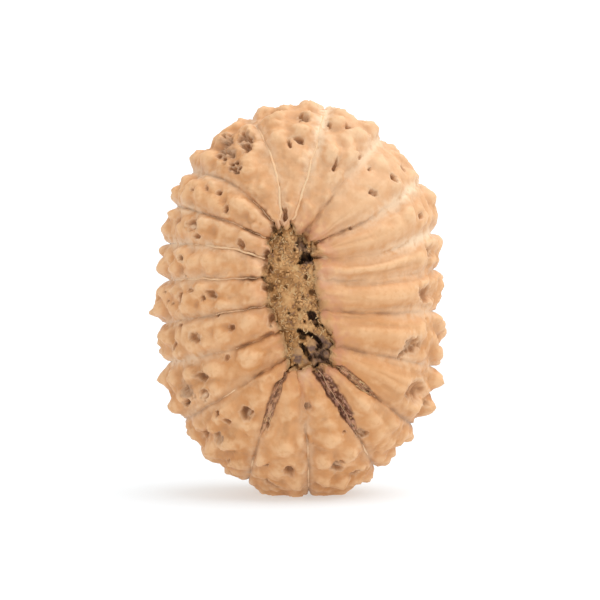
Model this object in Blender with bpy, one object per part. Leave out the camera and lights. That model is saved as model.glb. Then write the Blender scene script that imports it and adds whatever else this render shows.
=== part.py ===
"""A rudraksha seed with nineteen seams, standing on the narrow end of its oval.

The seed grew as one piece, so it is one closed body. Nineteen seams run from the pith on
the front pole, over the rim, to the pith on the back pole. Between two seams the shell
swells into a rib, and every rib carries knobs and pits. The surface is a net of rings
round the two poles, with a column of points for each direction. Every point starts on a
plain cushion shape and is then pushed out or in along that shape's normal.

Lengths are in millimetres until the mesh is made, which is in metres. X points right,
Y runs from the front pole to the back pole, and Z points up.
"""

import math
import random
from typing import NamedTuple

import bmesh
import bpy
import numpy as np

MILLIMETRE = 0.001
QUARTER_TURN = math.pi / 2.0

# Driving dimensions of the whole seed; the halves reach to the notches between ribs
HALF_WIDTH = 12.0
HALF_HEIGHT = 17.5
HALF_THICKNESS = 9.6
SHOULDER = 0.9
FOOT_BELOW_CENTRE = 17.75
POLE_RISE = math.radians(6.0)

# How finely the surface is divided
COLUMN_SPACING = 0.8
FEWEST_COLUMN_PAIRS = 2
FRONT_STEPS = 20
BACK_STEPS = 17
FLOOR_STEPS = (0.35, 0.68, 0.92)


class Seam(NamedTuple):
    """A line of the shell on the front face: its pith end, its rim end and its bow."""

    pith_right: float
    pith_up: float
    rim_right: float
    rim_up: float
    bow: float


# From the top of the front face, clockwise; places are right and up from the centre
SEAMS = (
    Seam(-1.8, 6.8, -4.3, 16.4, -0.8),
    Seam(-0.9, 6.8, 2.2, 17.3, -0.3),
    Seam(0.2, 5.8, 7.2, 14.5, 0.1),
    Seam(0.9, 5.3, 10.7, 10.6, -0.7),
    Seam(1.1, 3.9, 11.8, 6.1, -0.9),
    Seam(1.4, 2.0, 12.1, 2.8, -0.5),
    Seam(1.8, -0.8, 12.0, -1.0, -0.3),
    Seam(2.7, -4.0, 11.8, -6.0, 0.0),
    Seam(2.9, -6.2, 10.1, -11.3, 0.1),
    Seam(1.5, -6.6, 6.7, -15.1, 0.2),
    Seam(0.0, -7.1, 0.8, -17.5, 0.5),
    Seam(-1.0, -6.5, -4.7, -16.4, -0.3),
    Seam(-1.2, -5.3, -10.4, -10.9, 0.0),
    Seam(-1.8, -2.9, -11.7, -5.6, 0.4),
    Seam(-2.9, -0.5, -12.1, -2.1, 0.0),
    Seam(-3.2, 1.9, -11.8, 1.8, -0.1),
    Seam(-2.9, 3.8, -11.7, 5.1, -0.3),
    Seam(-2.8, 5.6, -11.1, 8.5, -0.2),
    Seam(-2.4, 6.8, -9.7, 11.6, -1.0),
)
RIBS = len(SEAMS)

# The pith hollows, whose tops lie in the first rib: the front one keeps within the
# seams' ends, and the back one is an oval
HOLLOW_TOP = 0.45
PITH_LEAN = 0.16
PITH_SPINE = 0.8
PITH_DEPTH = 0.9
PITH_LUMP = 0.1
POLE_DIP = 0.75
BACK_PITH_HALF_WIDTH = 1.5
BACK_PITH_HALF_HEIGHT = 4.6
BACK_PITH_CENTRE = (0.3, -0.4)
BACK_BOW = -0.5

# Ribs, and the gaps where a seam has parted: seam, its deepest place and where it ends
RIB_SWELL = 0.62
SWELL_WIDTH = 4.2
RIB_FLATNESS = 2.4
KNOB_FADE_AT_SEAM = 0.4
SWELL_AT_PITH = 0.45
GAPS = ((8, 0.9, 0.60), (9, 1.3, 0.72), (11, 0.6, 0.55))

# Tips of the knobs that stand out round the rim, right and up from the centre
RIM_TIPS = (
    (-3.3, 17.5), (-1.0, 17.5), (1.6, 18.1), (3.4, 17.5), (5.4, 16.6), (7.0, 15.5),
    (7.9, 14.5), (9.3, 13.3), (10.5, 12.1), (12.1, 10.1), (12.8, 7.6), (13.1, 4.8),
    (13.2, 2.0), (13.0, 0.0), (13.6, -1.9), (13.4, -5.0), (13.4, -7.3), (12.4, -10.0),
    (10.5, -12.4), (9.0, -13.5), (7.8, -15.4), (6.0, -16.5), (4.4, -17.5), (3.1, -18.1),
    (1.8, -18.5), (0.0, -18.2), (-1.5, -18.2), (-3.1, -18.0), (-5.6, -16.6), (-8.5, -14.7),
    (-10.5, -11.9), (-11.8, -9.5), (-12.7, -6.8), (-12.4, -4.6), (-12.8, -3.2),
    (-13.5, -1.0), (-13.0, 1.0), (-12.2, 2.9), (-12.5, 4.5), (-12.5, 6.2),
    (-11.8, 7.8), (-11.1, 9.4), (-10.5, 10.6), (-9.7, 13.5), (-6.8, 15.2), (-5.4, 16.4),
)
RIM_TIP_RADIUS = 1.5

# Knobs that follow a rule: staggered rows along each rib, lower towards the poles
KNOB_ROWS = (0.28, 0.72)
KNOB_ROWS_OF_WIDE_RIB = (0.2, 0.5, 0.8)
WIDE_RIB = 5.6
KNOB_STEP = math.radians(16.0)
FRONT_KNOB_LIMIT = math.radians(40.0)
BACK_KNOB_LIMIT = math.radians(24.0)
KNOB_HEIGHT = 0.85
KNOB_RADIUS = 1.4
KNOB_WANDER = 0.06
SMOOTH_FRONT_RIBS = range(2, 9)

# The larger pits on the front: right, up, radius and depth
FRONT_PITS = (
    (11.4, 0.6, 0.9, 0.55), (10.2, -4.3, 1.0, 0.75), (10.6, -8.2, 1.0, 0.75),
    (-6.7, 13.7, 0.9, 0.70), (-9.8, 6.8, 0.8, 0.45), (-10.5, -9.0, 1.0, 0.65),
    (-5.0, -10.3, 0.8, 0.60), (-8.9, -7.8, 0.9, 0.55), (-9.5, -3.3, 0.8, 0.50),
    (3.1, -15.3, 0.8, 0.60), (-1.0, -15.6, 0.7, 0.50), (7.4, 10.6, 0.8, 0.45),
)
PITH_PITS = (
    (0.5, 3.9, 0.7, 0.7), (1.3, -1.9, 0.8, 0.7), (0.2, -4.4, 0.7, 0.8), (2.1, -4.9, 0.9, 0.8),
)

SHELL_COLOUR = (0.68, 0.38, 0.19, 1.0)
SHELL_ROUGHNESS = 0.55


class Net(NamedTuple):
    """The net of points, ring by ring from the front pole to the back pole."""

    points: np.ndarray
    turn: np.ndarray
    side: np.ndarray
    on_floor: np.ndarray


def clear_scene():
    """Remove the objects that a new file starts with."""
    for thing in list(bpy.data.objects):
        bpy.data.objects.remove(thing, do_unlink=True)


def rib_widths():
    """How wide each rib is at the rim, from its own seam to the next one."""
    ends = np.array([(seam.rim_right, seam.rim_up) for seam in SEAMS])
    return np.linalg.norm(np.roll(ends, -1, axis=0) - ends, axis=-1)


def column_places():
    """Where the columns stand: the rib's number, and how far across that rib.

    Each rib has an even number of columns, so one of them follows its crest.
    """
    places = []
    for rib, width in enumerate(rib_widths()):
        count = 2 * max(FEWEST_COLUMN_PAIRS, round(width / COLUMN_SPACING / 2.0))
        places.extend(rib + step / count for step in range(count))
    return np.array(places)


def between_seams(places, values):
    """Read values that are known at each seam for every column."""
    return np.interp(places, np.arange(RIBS + 1), np.append(values, values[0]))


def face_plan(pith, rim, bow, reach):
    """One ring of a face, seen straight on, each seam bowed between pith and rim."""
    run = rim - pith
    leftwards = np.stack((-run[:, 1], run[:, 0]), axis=-1)
    leftwards /= np.linalg.norm(run, axis=-1, keepdims=True)
    bulge = 4.0 * reach * (1.0 - reach) * bow
    return pith + reach * run + bulge[:, None] * leftwards


def face_depth(pith, turn):
    """How far a face's ring lies from the rim's plane, less at the pith's ends."""
    dip = POLE_DIP * (pith[:, 1] / HALF_HEIGHT) ** 2
    return HALF_THICKNESS * (1.0 - dip * math.cos(turn)) * math.cos(turn) ** SHOULDER


def face_rings(pith, lean, rim, bow, steps, side):
    """The rings of one face from its pole to the rim: plan, depth, turn and side."""
    rings = []
    spine = PITH_SPINE * pith[:, 1:] * (-lean, 1.0)
    for step in FLOOR_STEPS:
        plan = spine + step * (pith - spine)
        depth = face_depth(pith, 0.0) - PITH_DEPTH
        rings.append((plan, depth, 0.0, side, True))
    for step in range(steps + 1):
        turn = QUARTER_TURN * step / steps
        plan = face_plan(pith, rim, bow, math.sin(turn))
        rings.append((plan, face_depth(pith, turn), turn, side, False))
    return rings


def make_net(places):
    """The plain cushion shape, with its hollow poles."""
    values = np.stack([between_seams(places, column) for column in np.array(SEAMS).T], axis=-1)
    front_pith, rim, bow = values[:, 0:2], values[:, 2:4], values[:, 4]
    slant = np.arctan2(rim[:, 1] / HALF_HEIGHT, rim[:, 0] / HALF_WIDTH)
    back_pith = np.stack((BACK_PITH_HALF_WIDTH * np.cos(slant),
                          BACK_PITH_HALF_HEIGHT * np.sin(slant)), axis=-1) + BACK_PITH_CENTRE
    front = face_rings(front_pith, PITH_LEAN, rim, bow, FRONT_STEPS, -1.0)
    back = face_rings(back_pith, 0.0, rim, BACK_BOW * bow, BACK_STEPS, 1.0)
    rings = front + back[-2::-1]
    points = [np.stack((plan[:, 0], side * depth, plan[:, 1]), axis=-1)
              for plan, depth, turn, side, on_floor in rings]
    turns = np.array([ring[2] for ring in rings])
    sides = np.array([ring[3] for ring in rings])
    floors = np.array([ring[4] for ring in rings])
    return Net(np.array(points), turns, sides, floors)


def outward(points):
    """The normal of the plain ellipsoid through each point."""
    semi = np.array((HALF_WIDTH, HALF_THICKNESS, HALF_HEIGHT))
    slope = points / semi ** 2
    return slope / np.linalg.norm(slope, axis=-1, keepdims=True)


def across_rib(places):
    """The rib's rounded section: 0 at its two seams and 1 along its middle."""
    return 1.0 - np.abs(2.0 * (places % 1.0) - 1.0) ** RIB_FLATNESS


def rib_swell(net, places):
    """How far the ribs stand out: most along their middle and towards the rim."""
    seam_lines = net.points[:, places % 1.0 == 0.0]
    width = np.linalg.norm(np.roll(seam_lines, -1, axis=1) - seam_lines, axis=-1)
    width = width[:, places.astype(int)]
    along = SWELL_AT_PITH + (1.0 - SWELL_AT_PITH) * np.sin(net.turn)
    along = np.where(net.on_floor, 0.0, along)
    return RIB_SWELL * along[:, None] * np.sqrt(width / SWELL_WIDTH) * across_rib(places)


def seam_gaps(net, places):
    """How far the parted seams open inwards, on the front face only."""
    depth = np.zeros(net.points.shape[:2])
    reach = np.sin(net.turn)
    for seam, deepest, far_end in GAPS:
        fade = np.sqrt(np.clip(1.0 - reach / far_end, 0.0, 1.0))
        in_front = (net.side < 0.0) & ~net.on_floor
        depth[:, places == seam] = (deepest * fade * in_front)[:, None]
    return depth


def dome(points, centre, radius):
    """A rounded bump of height 1 round a centre, and 0 past its radius."""
    away = np.linalg.norm(points - centre, axis=-1) / radius
    return np.clip(1.0 - away ** 2, 0.0, None) ** 1.5


def front_place(net, right, up):
    """The point of the front face that shows at this place from straight ahead."""
    plan = net.points[:, :, (0, 2)] - (right, up)
    far_side = np.where(net.side < 0.0, 0.0, 100.0)
    gap = np.linalg.norm(plan, axis=-1) + far_side[:, None]
    return np.unravel_index(np.argmin(gap), gap.shape)


def rim_knobs(net, places, normals, lift):
    """Knobs whose tips make the toothed outline that shows from the front."""
    total = np.zeros(lift.shape)
    for right, up in RIM_TIPS:
        place = front_place(net, right, up)
        surface = net.points[place] + normals[place] * (lift[place] + total[place])
        height = float(np.dot(np.array((right, 0.0, up)) - surface, normals[place]))
        total += max(height, 0.0) * dome(net.points, net.points[place], RIM_TIP_RADIUS)
    return total * across_rib(places) ** KNOB_FADE_AT_SEAM


def ruled_knobs(net, places):
    """The staggered rows of knobs on every rib, shifted a little by a seeded draw."""
    draw = random.Random(19)
    total = np.zeros(net.points.shape[:2])
    for rib, width in enumerate(rib_widths()):
        rows = KNOB_ROWS_OF_WIDE_RIB if width > WIDE_RIB else KNOB_ROWS
        for side, limit in ((-1.0, FRONT_KNOB_LIMIT), (1.0, BACK_KNOB_LIMIT)):
            rings = np.flatnonzero((net.side == side) & ~net.on_floor)
            for number, row in enumerate(rows):
                turn = QUARTER_TURN - KNOB_STEP * (0.5 + 0.5 * (number % 2))
                while turn > limit:
                    across = rib + row + draw.uniform(-KNOB_WANDER, KNOB_WANDER)
                    ring = rings[np.argmin(np.abs(net.turn[rings] - turn))]
                    column = np.argmin(np.abs(places - across))
                    height = KNOB_HEIGHT * math.sin(turn) * draw.uniform(0.5, 1.1)
                    if side > 0.0 or rib not in SMOOTH_FRONT_RIBS:
                        total += height * dome(net.points, net.points[ring, column], KNOB_RADIUS)
                    turn -= KNOB_STEP
    return total * across_rib(places) ** KNOB_FADE_AT_SEAM


def pits(net):
    """The larger pits of the front ribs and the holes beside the pith."""
    total = np.zeros(net.points.shape[:2])
    for right, up, radius, depth in FRONT_PITS + PITH_PITS:
        centre = net.points[front_place(net, right, up)]
        total += depth * dome(net.points, centre, radius)
    return total


def pith_lumps(net):
    """A little unevenness on the corky floor of both hollows."""
    draw = random.Random(7)
    lumps = np.zeros(net.points.shape[:2])
    for ring in np.flatnonzero(net.on_floor):
        for column in range(lumps.shape[1]):
            lumps[ring, column] = PITH_LUMP * draw.uniform(-1.0, 1.0)
    return lumps


def stand_up(points):
    """Lean the poles as the seed stands, put it on the ground and flatten its foot."""
    placed = points.copy()
    placed[..., 2] -= points[..., 1] * math.tan(POLE_RISE)
    placed[..., 2] = np.maximum(placed[..., 2] + FOOT_BELOW_CENTRE, 0.0)
    return placed * MILLIMETRE


def close_pole(bm, ring, top):
    """Fill the innermost ring with rungs across it, from its topmost point down."""
    ring = ring[top:] + ring[:top]
    half = len(ring) // 2
    rungs = list(zip(ring[:half], reversed(ring[half:])))
    for (right, left), (next_right, next_left) in zip(rungs, rungs[1:]):
        bm.faces.new((right, next_right, next_left, left))


def skin(points, top, name):
    """Join the rings with quads, close both poles and return the mesh."""
    bm = bmesh.new()
    rings = [[bm.verts.new(point) for point in ring] for ring in points]
    for ring, following in zip(rings, rings[1:]):
        corners = zip(ring, ring[1:] + ring[:1], following[1:] + following[:1], following)
        for quad in corners:
            bm.faces.new(quad)
    close_pole(bm, rings[0], top)
    close_pole(bm, rings[-1], top)
    bmesh.ops.recalc_face_normals(bm, faces=bm.faces)
    bmesh.ops.triangulate(bm, faces=bm.faces)
    mesh = bpy.data.meshes.new(name)
    bm.to_mesh(mesh)
    bm.free()
    return mesh


def shell_material():
    """Dry, slightly waxy orange-tan wood."""
    material = bpy.data.materials.new("seed_shell")
    material.use_nodes = True
    shader = material.node_tree.nodes["Principled BSDF"]
    shader.inputs["Base Color"].default_value = SHELL_COLOUR
    shader.inputs["Roughness"].default_value = SHELL_ROUGHNESS
    shader.inputs["Metallic"].default_value = 0.0
    return material


def make_seed():
    """Model the seed as one object."""
    places = column_places()
    net = make_net(places)
    normals = outward(net.points)
    lift = rib_swell(net, places) + ruled_knobs(net, places) + pith_lumps(net)
    lift += rim_knobs(net, places, normals, lift)
    lift -= seam_gaps(net, places) + pits(net)
    surface = net.points + normals * lift[..., None]
    mesh = skin(stand_up(surface), np.argmax(places > HOLLOW_TOP), "rudraksha_seed")
    mesh.materials.append(shell_material())
    mesh.shade_smooth()
    seed = bpy.data.objects.new("rudraksha_seed", mesh)
    bpy.context.scene.collection.objects.link(seed)
    return seed


clear_scene()
make_seed()
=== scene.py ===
"""Looks of a rudraksha seed with nineteen seams, laid out as a Blender add-on.

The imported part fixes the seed's size and place. The shell here is a sphere whose points are
moved onto the same plan: a cushion with a pith hollow at each pole, from which ribs and
knobs are raised, and into which pits are pressed. The corky pith, the pale threads along
the seams and the fibres in the parted seams are pieces of their own.

Shapes are worked out in millimetres, with X to the right, Y from the front pole to the back
pole and Z up from the seed's centre. Sliders and finished meshes are in metres.
"""

import math
import random
from typing import NamedTuple

import bpy
import numpy as np
from bpy.props import FloatProperty, FloatVectorProperty, IntProperty, PointerProperty
from bpy.types import Operator, Panel, PropertyGroup
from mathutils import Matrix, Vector, noise


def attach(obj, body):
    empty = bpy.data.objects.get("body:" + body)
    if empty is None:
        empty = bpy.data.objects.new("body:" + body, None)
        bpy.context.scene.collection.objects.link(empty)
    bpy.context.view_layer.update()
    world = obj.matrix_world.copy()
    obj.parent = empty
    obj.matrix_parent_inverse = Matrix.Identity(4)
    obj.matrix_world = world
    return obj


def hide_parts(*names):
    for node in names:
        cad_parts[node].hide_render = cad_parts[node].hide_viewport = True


bl_info = {
    "name": "Rudraksha Seed",
    "version": (1, 0, 0),
    "blender": (4, 5, 0),
    "location": "3D View > Sidebar > Seed",
    "description": "Grows a rudraksha seed with its pith, seam threads and fibres",
    "category": "Object",
}

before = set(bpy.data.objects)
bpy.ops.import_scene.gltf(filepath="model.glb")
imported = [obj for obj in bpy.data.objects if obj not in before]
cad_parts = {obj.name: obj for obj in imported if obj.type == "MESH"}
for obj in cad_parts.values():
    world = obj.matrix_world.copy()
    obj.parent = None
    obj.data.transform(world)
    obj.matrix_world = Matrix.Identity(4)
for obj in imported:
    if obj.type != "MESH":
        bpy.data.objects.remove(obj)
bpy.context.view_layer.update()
SEED_NODE = "rudraksha_seed"

MILLIMETRE = 0.001
QUARTER_TURN = math.pi / 2.0
FULL_TURN = math.tau

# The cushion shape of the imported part
HALF_WIDTH = 12.0
HALF_HEIGHT = 17.5
HALF_THICKNESS = 9.6
SHOULDER = 0.9
FOOT_BELOW_CENTRE = 17.75
POLE_RISE = math.radians(6.0)

# How finely the shell is divided; the rings are counted from pole to pole
COLUMN_SPACING = 0.222
SEAM_CROWDING = 0.35
FLOOR_RINGS = 5
FRONT_RINGS = 90
BACK_RINGS = 56
RINGS = FLOOR_RINGS + FRONT_RINGS + BACK_RINGS + FLOOR_RINGS


class Seam(NamedTuple):
    """A line of the shell on the front face: its pith end, its rim end and its bow."""

    pith_right: float
    pith_up: float
    rim_right: float
    rim_up: float
    bow: float


# From the top of the front face, clockwise; places are right and up from the centre
SEAMS = (
    Seam(-1.8, 6.8, -4.3, 16.4, -0.8),
    Seam(-0.9, 6.8, 2.2, 17.3, -0.3),
    Seam(0.2, 5.8, 7.2, 14.5, 0.1),
    Seam(0.9, 5.3, 10.7, 10.6, -0.7),
    Seam(1.3, 3.9, 11.8, 6.1, -0.9),
    Seam(1.4, 2.0, 12.1, 2.8, -0.5),
    Seam(1.8, -0.8, 12.0, -1.0, -0.3),
    Seam(2.95, -4.1, 11.8, -6.0, 0.0),
    Seam(3.05, -6.1, 10.1, -11.3, 0.1),
    Seam(1.5, -6.2, 6.7, -15.1, 0.2),
    Seam(-0.2, -6.5, 0.8, -17.5, 0.3),
    Seam(-1.1, -6.2, -4.7, -16.4, -0.3),
    Seam(-1.2, -5.3, -10.4, -10.9, 0.0),
    Seam(-1.8, -2.9, -11.7, -5.6, 0.4),
    Seam(-2.9, -0.5, -12.1, -2.1, 0.0),
    Seam(-3.2, 1.9, -11.8, 1.8, -0.1),
    Seam(-2.9, 3.8, -11.7, 5.1, -0.3),
    Seam(-2.8, 5.6, -11.1, 8.5, -0.2),
    Seam(-2.4, 6.8, -9.7, 11.6, -1.0),
)
RIBS = len(SEAMS)

# The pith hollows
PITH_LEAN = 0.16
PITH_SPINE = 0.8
SPINE_START = 0.35
PITH_DEPTH = 2.2
PITH_WALL = 0.17
POLE_DIP = 0.75
BACK_PITH_HALF_WIDTH = 1.5
BACK_PITH_HALF_HEIGHT = 4.6
BACK_PITH_CENTRE = (0.3, -0.4)
BACK_BOW = -0.5

# Ribs and knobs
RIB_SWELL = 0.62
SWELL_WIDTH = 4.2
RIB_FLATNESS = 2.4
SWELL_AT_PITH = 0.45
TIP_BULGE = 0.07
KNOB_FADE_AT_SEAM = 0.4
RIM_TIPS = (
    (-3.3, 17.5), (-1.0, 17.5), (1.6, 18.1), (3.4, 17.5), (5.4, 16.6), (7.0, 15.5),
    (7.9, 14.5), (9.3, 13.3), (10.5, 12.1), (12.1, 10.1), (12.8, 7.6), (13.1, 4.8),
    (13.2, 2.0), (13.0, 0.0), (13.6, -1.9), (13.4, -5.0), (13.4, -7.3), (12.4, -10.0),
    (10.5, -12.4), (9.0, -13.5), (7.8, -15.4), (6.0, -16.5), (4.4, -17.5), (3.1, -18.1),
    (1.8, -18.5), (0.0, -18.2), (-1.5, -18.2), (-3.1, -18.0), (-5.6, -16.6), (-8.5, -14.7),
    (-10.5, -11.9), (-11.8, -9.5), (-12.7, -6.8), (-12.4, -4.6), (-12.8, -3.2),
    (-13.5, -1.0), (-13.0, 1.0), (-12.2, 2.9), (-12.5, 4.5), (-12.5, 6.2),
    (-11.8, 7.8), (-11.1, 9.4), (-10.5, 10.6), (-9.7, 13.5), (-6.8, 15.2), (-5.4, 16.4),
)
RIM_TIP_RADIUS = 1.5
KNOB_ROWS = (0.28, 0.72)
KNOB_ROWS_OF_WIDE_RIB = (0.2, 0.5, 0.8)
WIDE_RIB = 5.6
KNOB_STEP = math.radians(16.0)
FRONT_KNOB_LIMIT = math.radians(40.0)
BACK_KNOB_LIMIT = math.radians(24.0)
KNOB_RADIUS = 1.4
KNOB_WANDER = 0.06
SMOOTH_FRONT_RIBS = range(2, 9)


class Look(NamedTuple):
    """How a seam shows on the front: near the pith, halfway and near the rim.

    crease and film run from 0, none, to about 1, strong. thread runs from -1, hidden
    throughout, to 2.2, thick.
    """

    thread: tuple
    crease: tuple
    film: tuple


# One for each seam, in the order of SEAMS
SEAM_LOOKS = (
    Look((2.2, 1.6, 1.0), (0.4, 0.20, 0.1), (0.3, 0.4, 0.5)),
    Look((2.2, 1.5, 1.2), (0.3, 0.15, 0.0), (0.2, 0.5, 1.0)),
    Look((0.0, 0.0, 0.0), (0.9, 0.20, 0.0), (0.0, 0.2, 0.7)),
    Look((0.0, 0.0, 0.0), (1.0, 0.35, 0.0), (0.1, 0.5, 0.9)),
    Look((0.0, 0.0, 0.0), (0.4, 0.15, 0.0), (0.0, 0.3, 0.9)),
    Look((0.0, 0.0, 0.0), (0.3, 0.10, 0.2), (0.3, 0.2, 0.4)),
    Look((0.0, 0.0, 0.0), (0.5, 0.60, 0.2), (0.0, 0.1, 0.5)),
    Look((0.0, 0.0, 0.0), (0.6, 0.60, 0.1), (0.0, 0.2, 0.4)),
    Look((0.0, 0.0, 0.0), (0.2, 0.90, 0.5), (0.0, 0.0, 0.2)),
    Look((-1.0, -1.0, 0.6), (0.2, 0.60, 0.3), (0.0, 0.2, 0.3)),
    Look((0.0, 0.7, 0.6), (0.0, 0.50, 0.4), (0.0, 0.5, 0.3)),
    Look((-1.0, -0.8, 0.6), (0.3, 0.35, 0.4), (0.0, 0.2, 0.4)),
    Look((0.1, 0.5, 0.2), (0.8, 0.30, 0.4), (0.0, 0.2, 0.3)),
    Look((0.2, 0.6, 0.2), (1.0, 0.40, 0.0), (0.0, 0.3, 0.6)),
    Look((0.5, 0.6, 0.2), (1.1, 0.55, 0.0), (0.2, 0.4, 0.4)),
    Look((0.4, 0.9, 1.0), (1.1, 0.50, 0.0), (0.2, 0.4, 0.6)),
    Look((0.9, 1.1, 0.3), (1.1, 0.45, 0.0), (0.3, 0.5, 0.7)),
    Look((0.6, 0.6, 0.1), (0.9, 0.50, 0.1), (0.2, 0.4, 0.7)),
    Look((0.5, 0.2, 0.0), (0.9, 0.45, 0.2), (0.1, 0.3, 0.7)),
)
BACK_LOOK = Look((0.3, 0.8, 0.6), (0.6, 0.5, 0.3), (0.2, 0.3, 0.5))
LOOK_REACHES = (0.15, 0.5, 0.85)
CREASE_HALF_WIDTH = 0.20
CREASE_DEPTH = 0.32
FILM_HALF_WIDTH = 0.60
# Painted light: the front laid paler in the film colour round a place at its top right
TOP_RIGHT_LIGHT = 0.30
TOP_RIGHT_LIGHT_CENTRE = (6.0, 13.0)
TOP_RIGHT_LIGHT_RADIUS = 9.0
TOP_RIGHT_LIGHT_PATCHY = 0.3


class Gap(NamedTuple):
    """A stretch where a seam has parted.

    widest and far_end are reaches, 0 at the pith and 1 at the rim. lean is 0 where both
    edges are alike and 1 where only the left edge is deep and dark; tan is how much of it
    pale tan fibres fill, against crumbly purple-brown.
    """

    seam: int
    half_width: float
    depth: float
    widest: float
    far_end: float
    lean: float
    tan: float


GAPS = (
    Gap(8, 0.46, 0.40, 0.15, 0.56, 0.3, 0.9), Gap(9, 0.64, 0.75, 0.10, 0.68, 0.7, 0.0),
    Gap(11, 0.52, 0.40, 0.30, 0.60, 0.5, 0.7),
)


class Pit(NamedTuple):
    """A pit of the front face as it shows from straight ahead.

    slant is how far its long way is turned up from the right, in degrees, and nib how much
    of it a pale nib fills.
    """

    right: float
    up: float
    half_length: float
    half_width: float
    slant: float
    depth: float
    nib: float = 0.0


# Pits with dark bottoms, some with a pale nib standing in them
PITS = (
    Pit(-9.6, 10.1, 0.18, 0.14, 0, 0.20), Pit(-8.3, 10.1, 0.25, 0.14, 90, 0.25),
    Pit(-7.4, 9.6, 0.28, 0.24, 60, 0.45), Pit(-6.6, 8.1, 0.45, 0.20, 85, 0.40),
    Pit(-11.2, 7.0, 0.42, 0.36, 60, 0.30, 0.6), Pit(-9.8, 6.8, 0.55, 0.45, 0, 0.45, 0.8),
    Pit(-9.4, 5.7, 0.38, 0.28, 150, 0.35), Pit(-5.4, 5.1, 0.45, 0.30, 100, 0.30),
    Pit(-10.8, 3.8, 0.26, 0.26, 0, 0.40), Pit(-10.3, 2.2, 0.12, 0.12, 0, 0.15),
    Pit(-11.0, 0.2, 0.38, 0.32, 90, 0.50), Pit(-9.9, 0.9, 0.40, 0.18, 170, 0.22),
    Pit(-8.8, 0.3, 0.32, 0.18, 120, 0.35), Pit(-8.0, 0.4, 0.48, 0.36, 150, 0.45, 0.7),
    Pit(-11.8, -0.2, 0.14, 0.12, 0, 0.20), Pit(-12.2, -0.2, 0.12, 0.12, 0, 0.20),
    Pit(-12.3, 0.8, 0.16, 0.14, 0, 0.20), Pit(-7.4, -1.4, 0.22, 0.16, 110, 0.25),
    Pit(-11.0, -2.3, 0.18, 0.14, 40, 0.20), Pit(-9.6, -3.3, 0.60, 0.42, 160, 0.45, 0.4),
    Pit(-6.3, -2.5, 0.30, 0.28, 60, 0.30), Pit(-11.5, -4.1, 0.45, 0.20, 70, 0.40),
    Pit(-6.7, -5.3, 0.30, 0.24, 60, 0.22), Pit(-9.0, -7.0, 0.60, 0.42, 165, 0.55, 0.3),
    Pit(-10.3, -8.2, 0.80, 0.36, 132, 0.55, 0.4), Pit(-8.6, -8.6, 0.48, 0.42, 0, 0.50, 0.8),
    Pit(-10.6, -9.6, 0.65, 0.28, 50, 0.65), Pit(-5.0, -10.3, 0.60, 0.52, 90, 0.60, 0.7),
    Pit(-6.7, -11.1, 0.42, 0.22, 150, 0.30), Pit(-7.5, -10.3, 0.28, 0.14, 80, 0.35),
    Pit(-8.9, -12.4, 0.50, 0.36, 90, 0.35), Pit(-6.5, -14.8, 0.30, 0.14, 10, 0.20),
    Pit(-3.2, -15.1, 0.26, 0.14, 0, 0.35), Pit(-3.0, -11.4, 0.30, 0.18, 90, 0.30),
    Pit(-3.0, 16.8, 0.20, 0.16, 40, 0.20), Pit(-2.6, 17.1, 0.20, 0.16, 120, 0.20),
    Pit(0.0, 14.5, 0.50, 0.26, 170, 0.45), Pit(-0.9, 14.2, 0.45, 0.16, 110, 0.35),
    Pit(-4.7, 13.8, 0.62, 0.36, 105, 0.50), Pit(-5.1, 14.9, 0.62, 0.24, 120, 0.40),
    Pit(-1.33, 7.75, 0.72, 0.25, 88, 0.55), Pit(2.7, 15.9, 0.28, 0.16, 110, 0.30),
    Pit(4.2, 15.6, 0.38, 0.14, 135, 0.25), Pit(3.2, 12.2, 0.62, 0.20, 70, 0.40),
    Pit(6.3, 12.0, 0.26, 0.14, 60, 0.30), Pit(8.4, 11.1, 0.46, 0.26, 110, 0.50),
    Pit(6.7, 9.7, 0.42, 0.30, 140, 0.50, 0.5), Pit(9.4, 12.1, 0.32, 0.13, 135, 0.30),
    Pit(11.0, 7.7, 0.34, 0.16, 80, 0.35), Pit(4.7, 6.6, 0.22, 0.15, 120, 0.25),
    Pit(12.0, 4.2, 0.40, 0.24, 110, 0.40, 0.6), Pit(11.7, 0.6, 0.85, 0.70, 10, 0.25),
    Pit(10.3, -4.2, 0.90, 0.75, 60, 0.35), Pit(9.3, -5.1, 0.40, 0.16, 40, 0.35),
    Pit(12.9, -3.9, 0.55, 0.20, 90, 0.35), Pit(10.9, -8.4, 1.00, 0.90, 60, 0.25),
    Pit(11.6, -9.4, 0.30, 0.14, 80, 0.35), Pit(-1.1, -15.7, 0.45, 0.42, 0, 0.50),
    Pit(3.4, -15.4, 0.55, 0.36, 175, 0.55, 0.7), Pit(3.8, -14.6, 0.18, 0.15, 0, 0.25),
    Pit(4.0, -12.0, 0.20, 0.14, 170, 0.20), Pit(5.1, -15.8, 0.40, 0.26, 40, 0.45),
    Pit(-2.8, -17.0, 0.70, 0.35, 160, 0.45), Pit(5.4, 13.0, 0.26, 0.18, 30, 0.20),
    Pit(1.40, 3.85, 0.60, 0.13, 175, 0.60), Pit(1.5, 5.2, 0.30, 0.09, 30, 0.25),
    Pit(-2.4, 6.5, 0.40, 0.22, 80, 0.60), Pit(-3.1, 4.3, 0.42, 0.28, 75, 0.70),
    Pit(-3.1, 2.8, 0.55, 0.26, 95, 0.60), Pit(-3.1, 1.1, 0.34, 0.30, 10, 0.50),
    Pit(-2.6, -1.6, 0.50, 0.30, 80, 0.50), Pit(11.1, 0.7, 0.45, 0.14, 100, 0.40),
    Pit(9.8, -4.6, 0.75, 0.24, 60, 0.50), Pit(10.1, -8.4, 0.70, 0.16, 95, 0.40),
)

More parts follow.
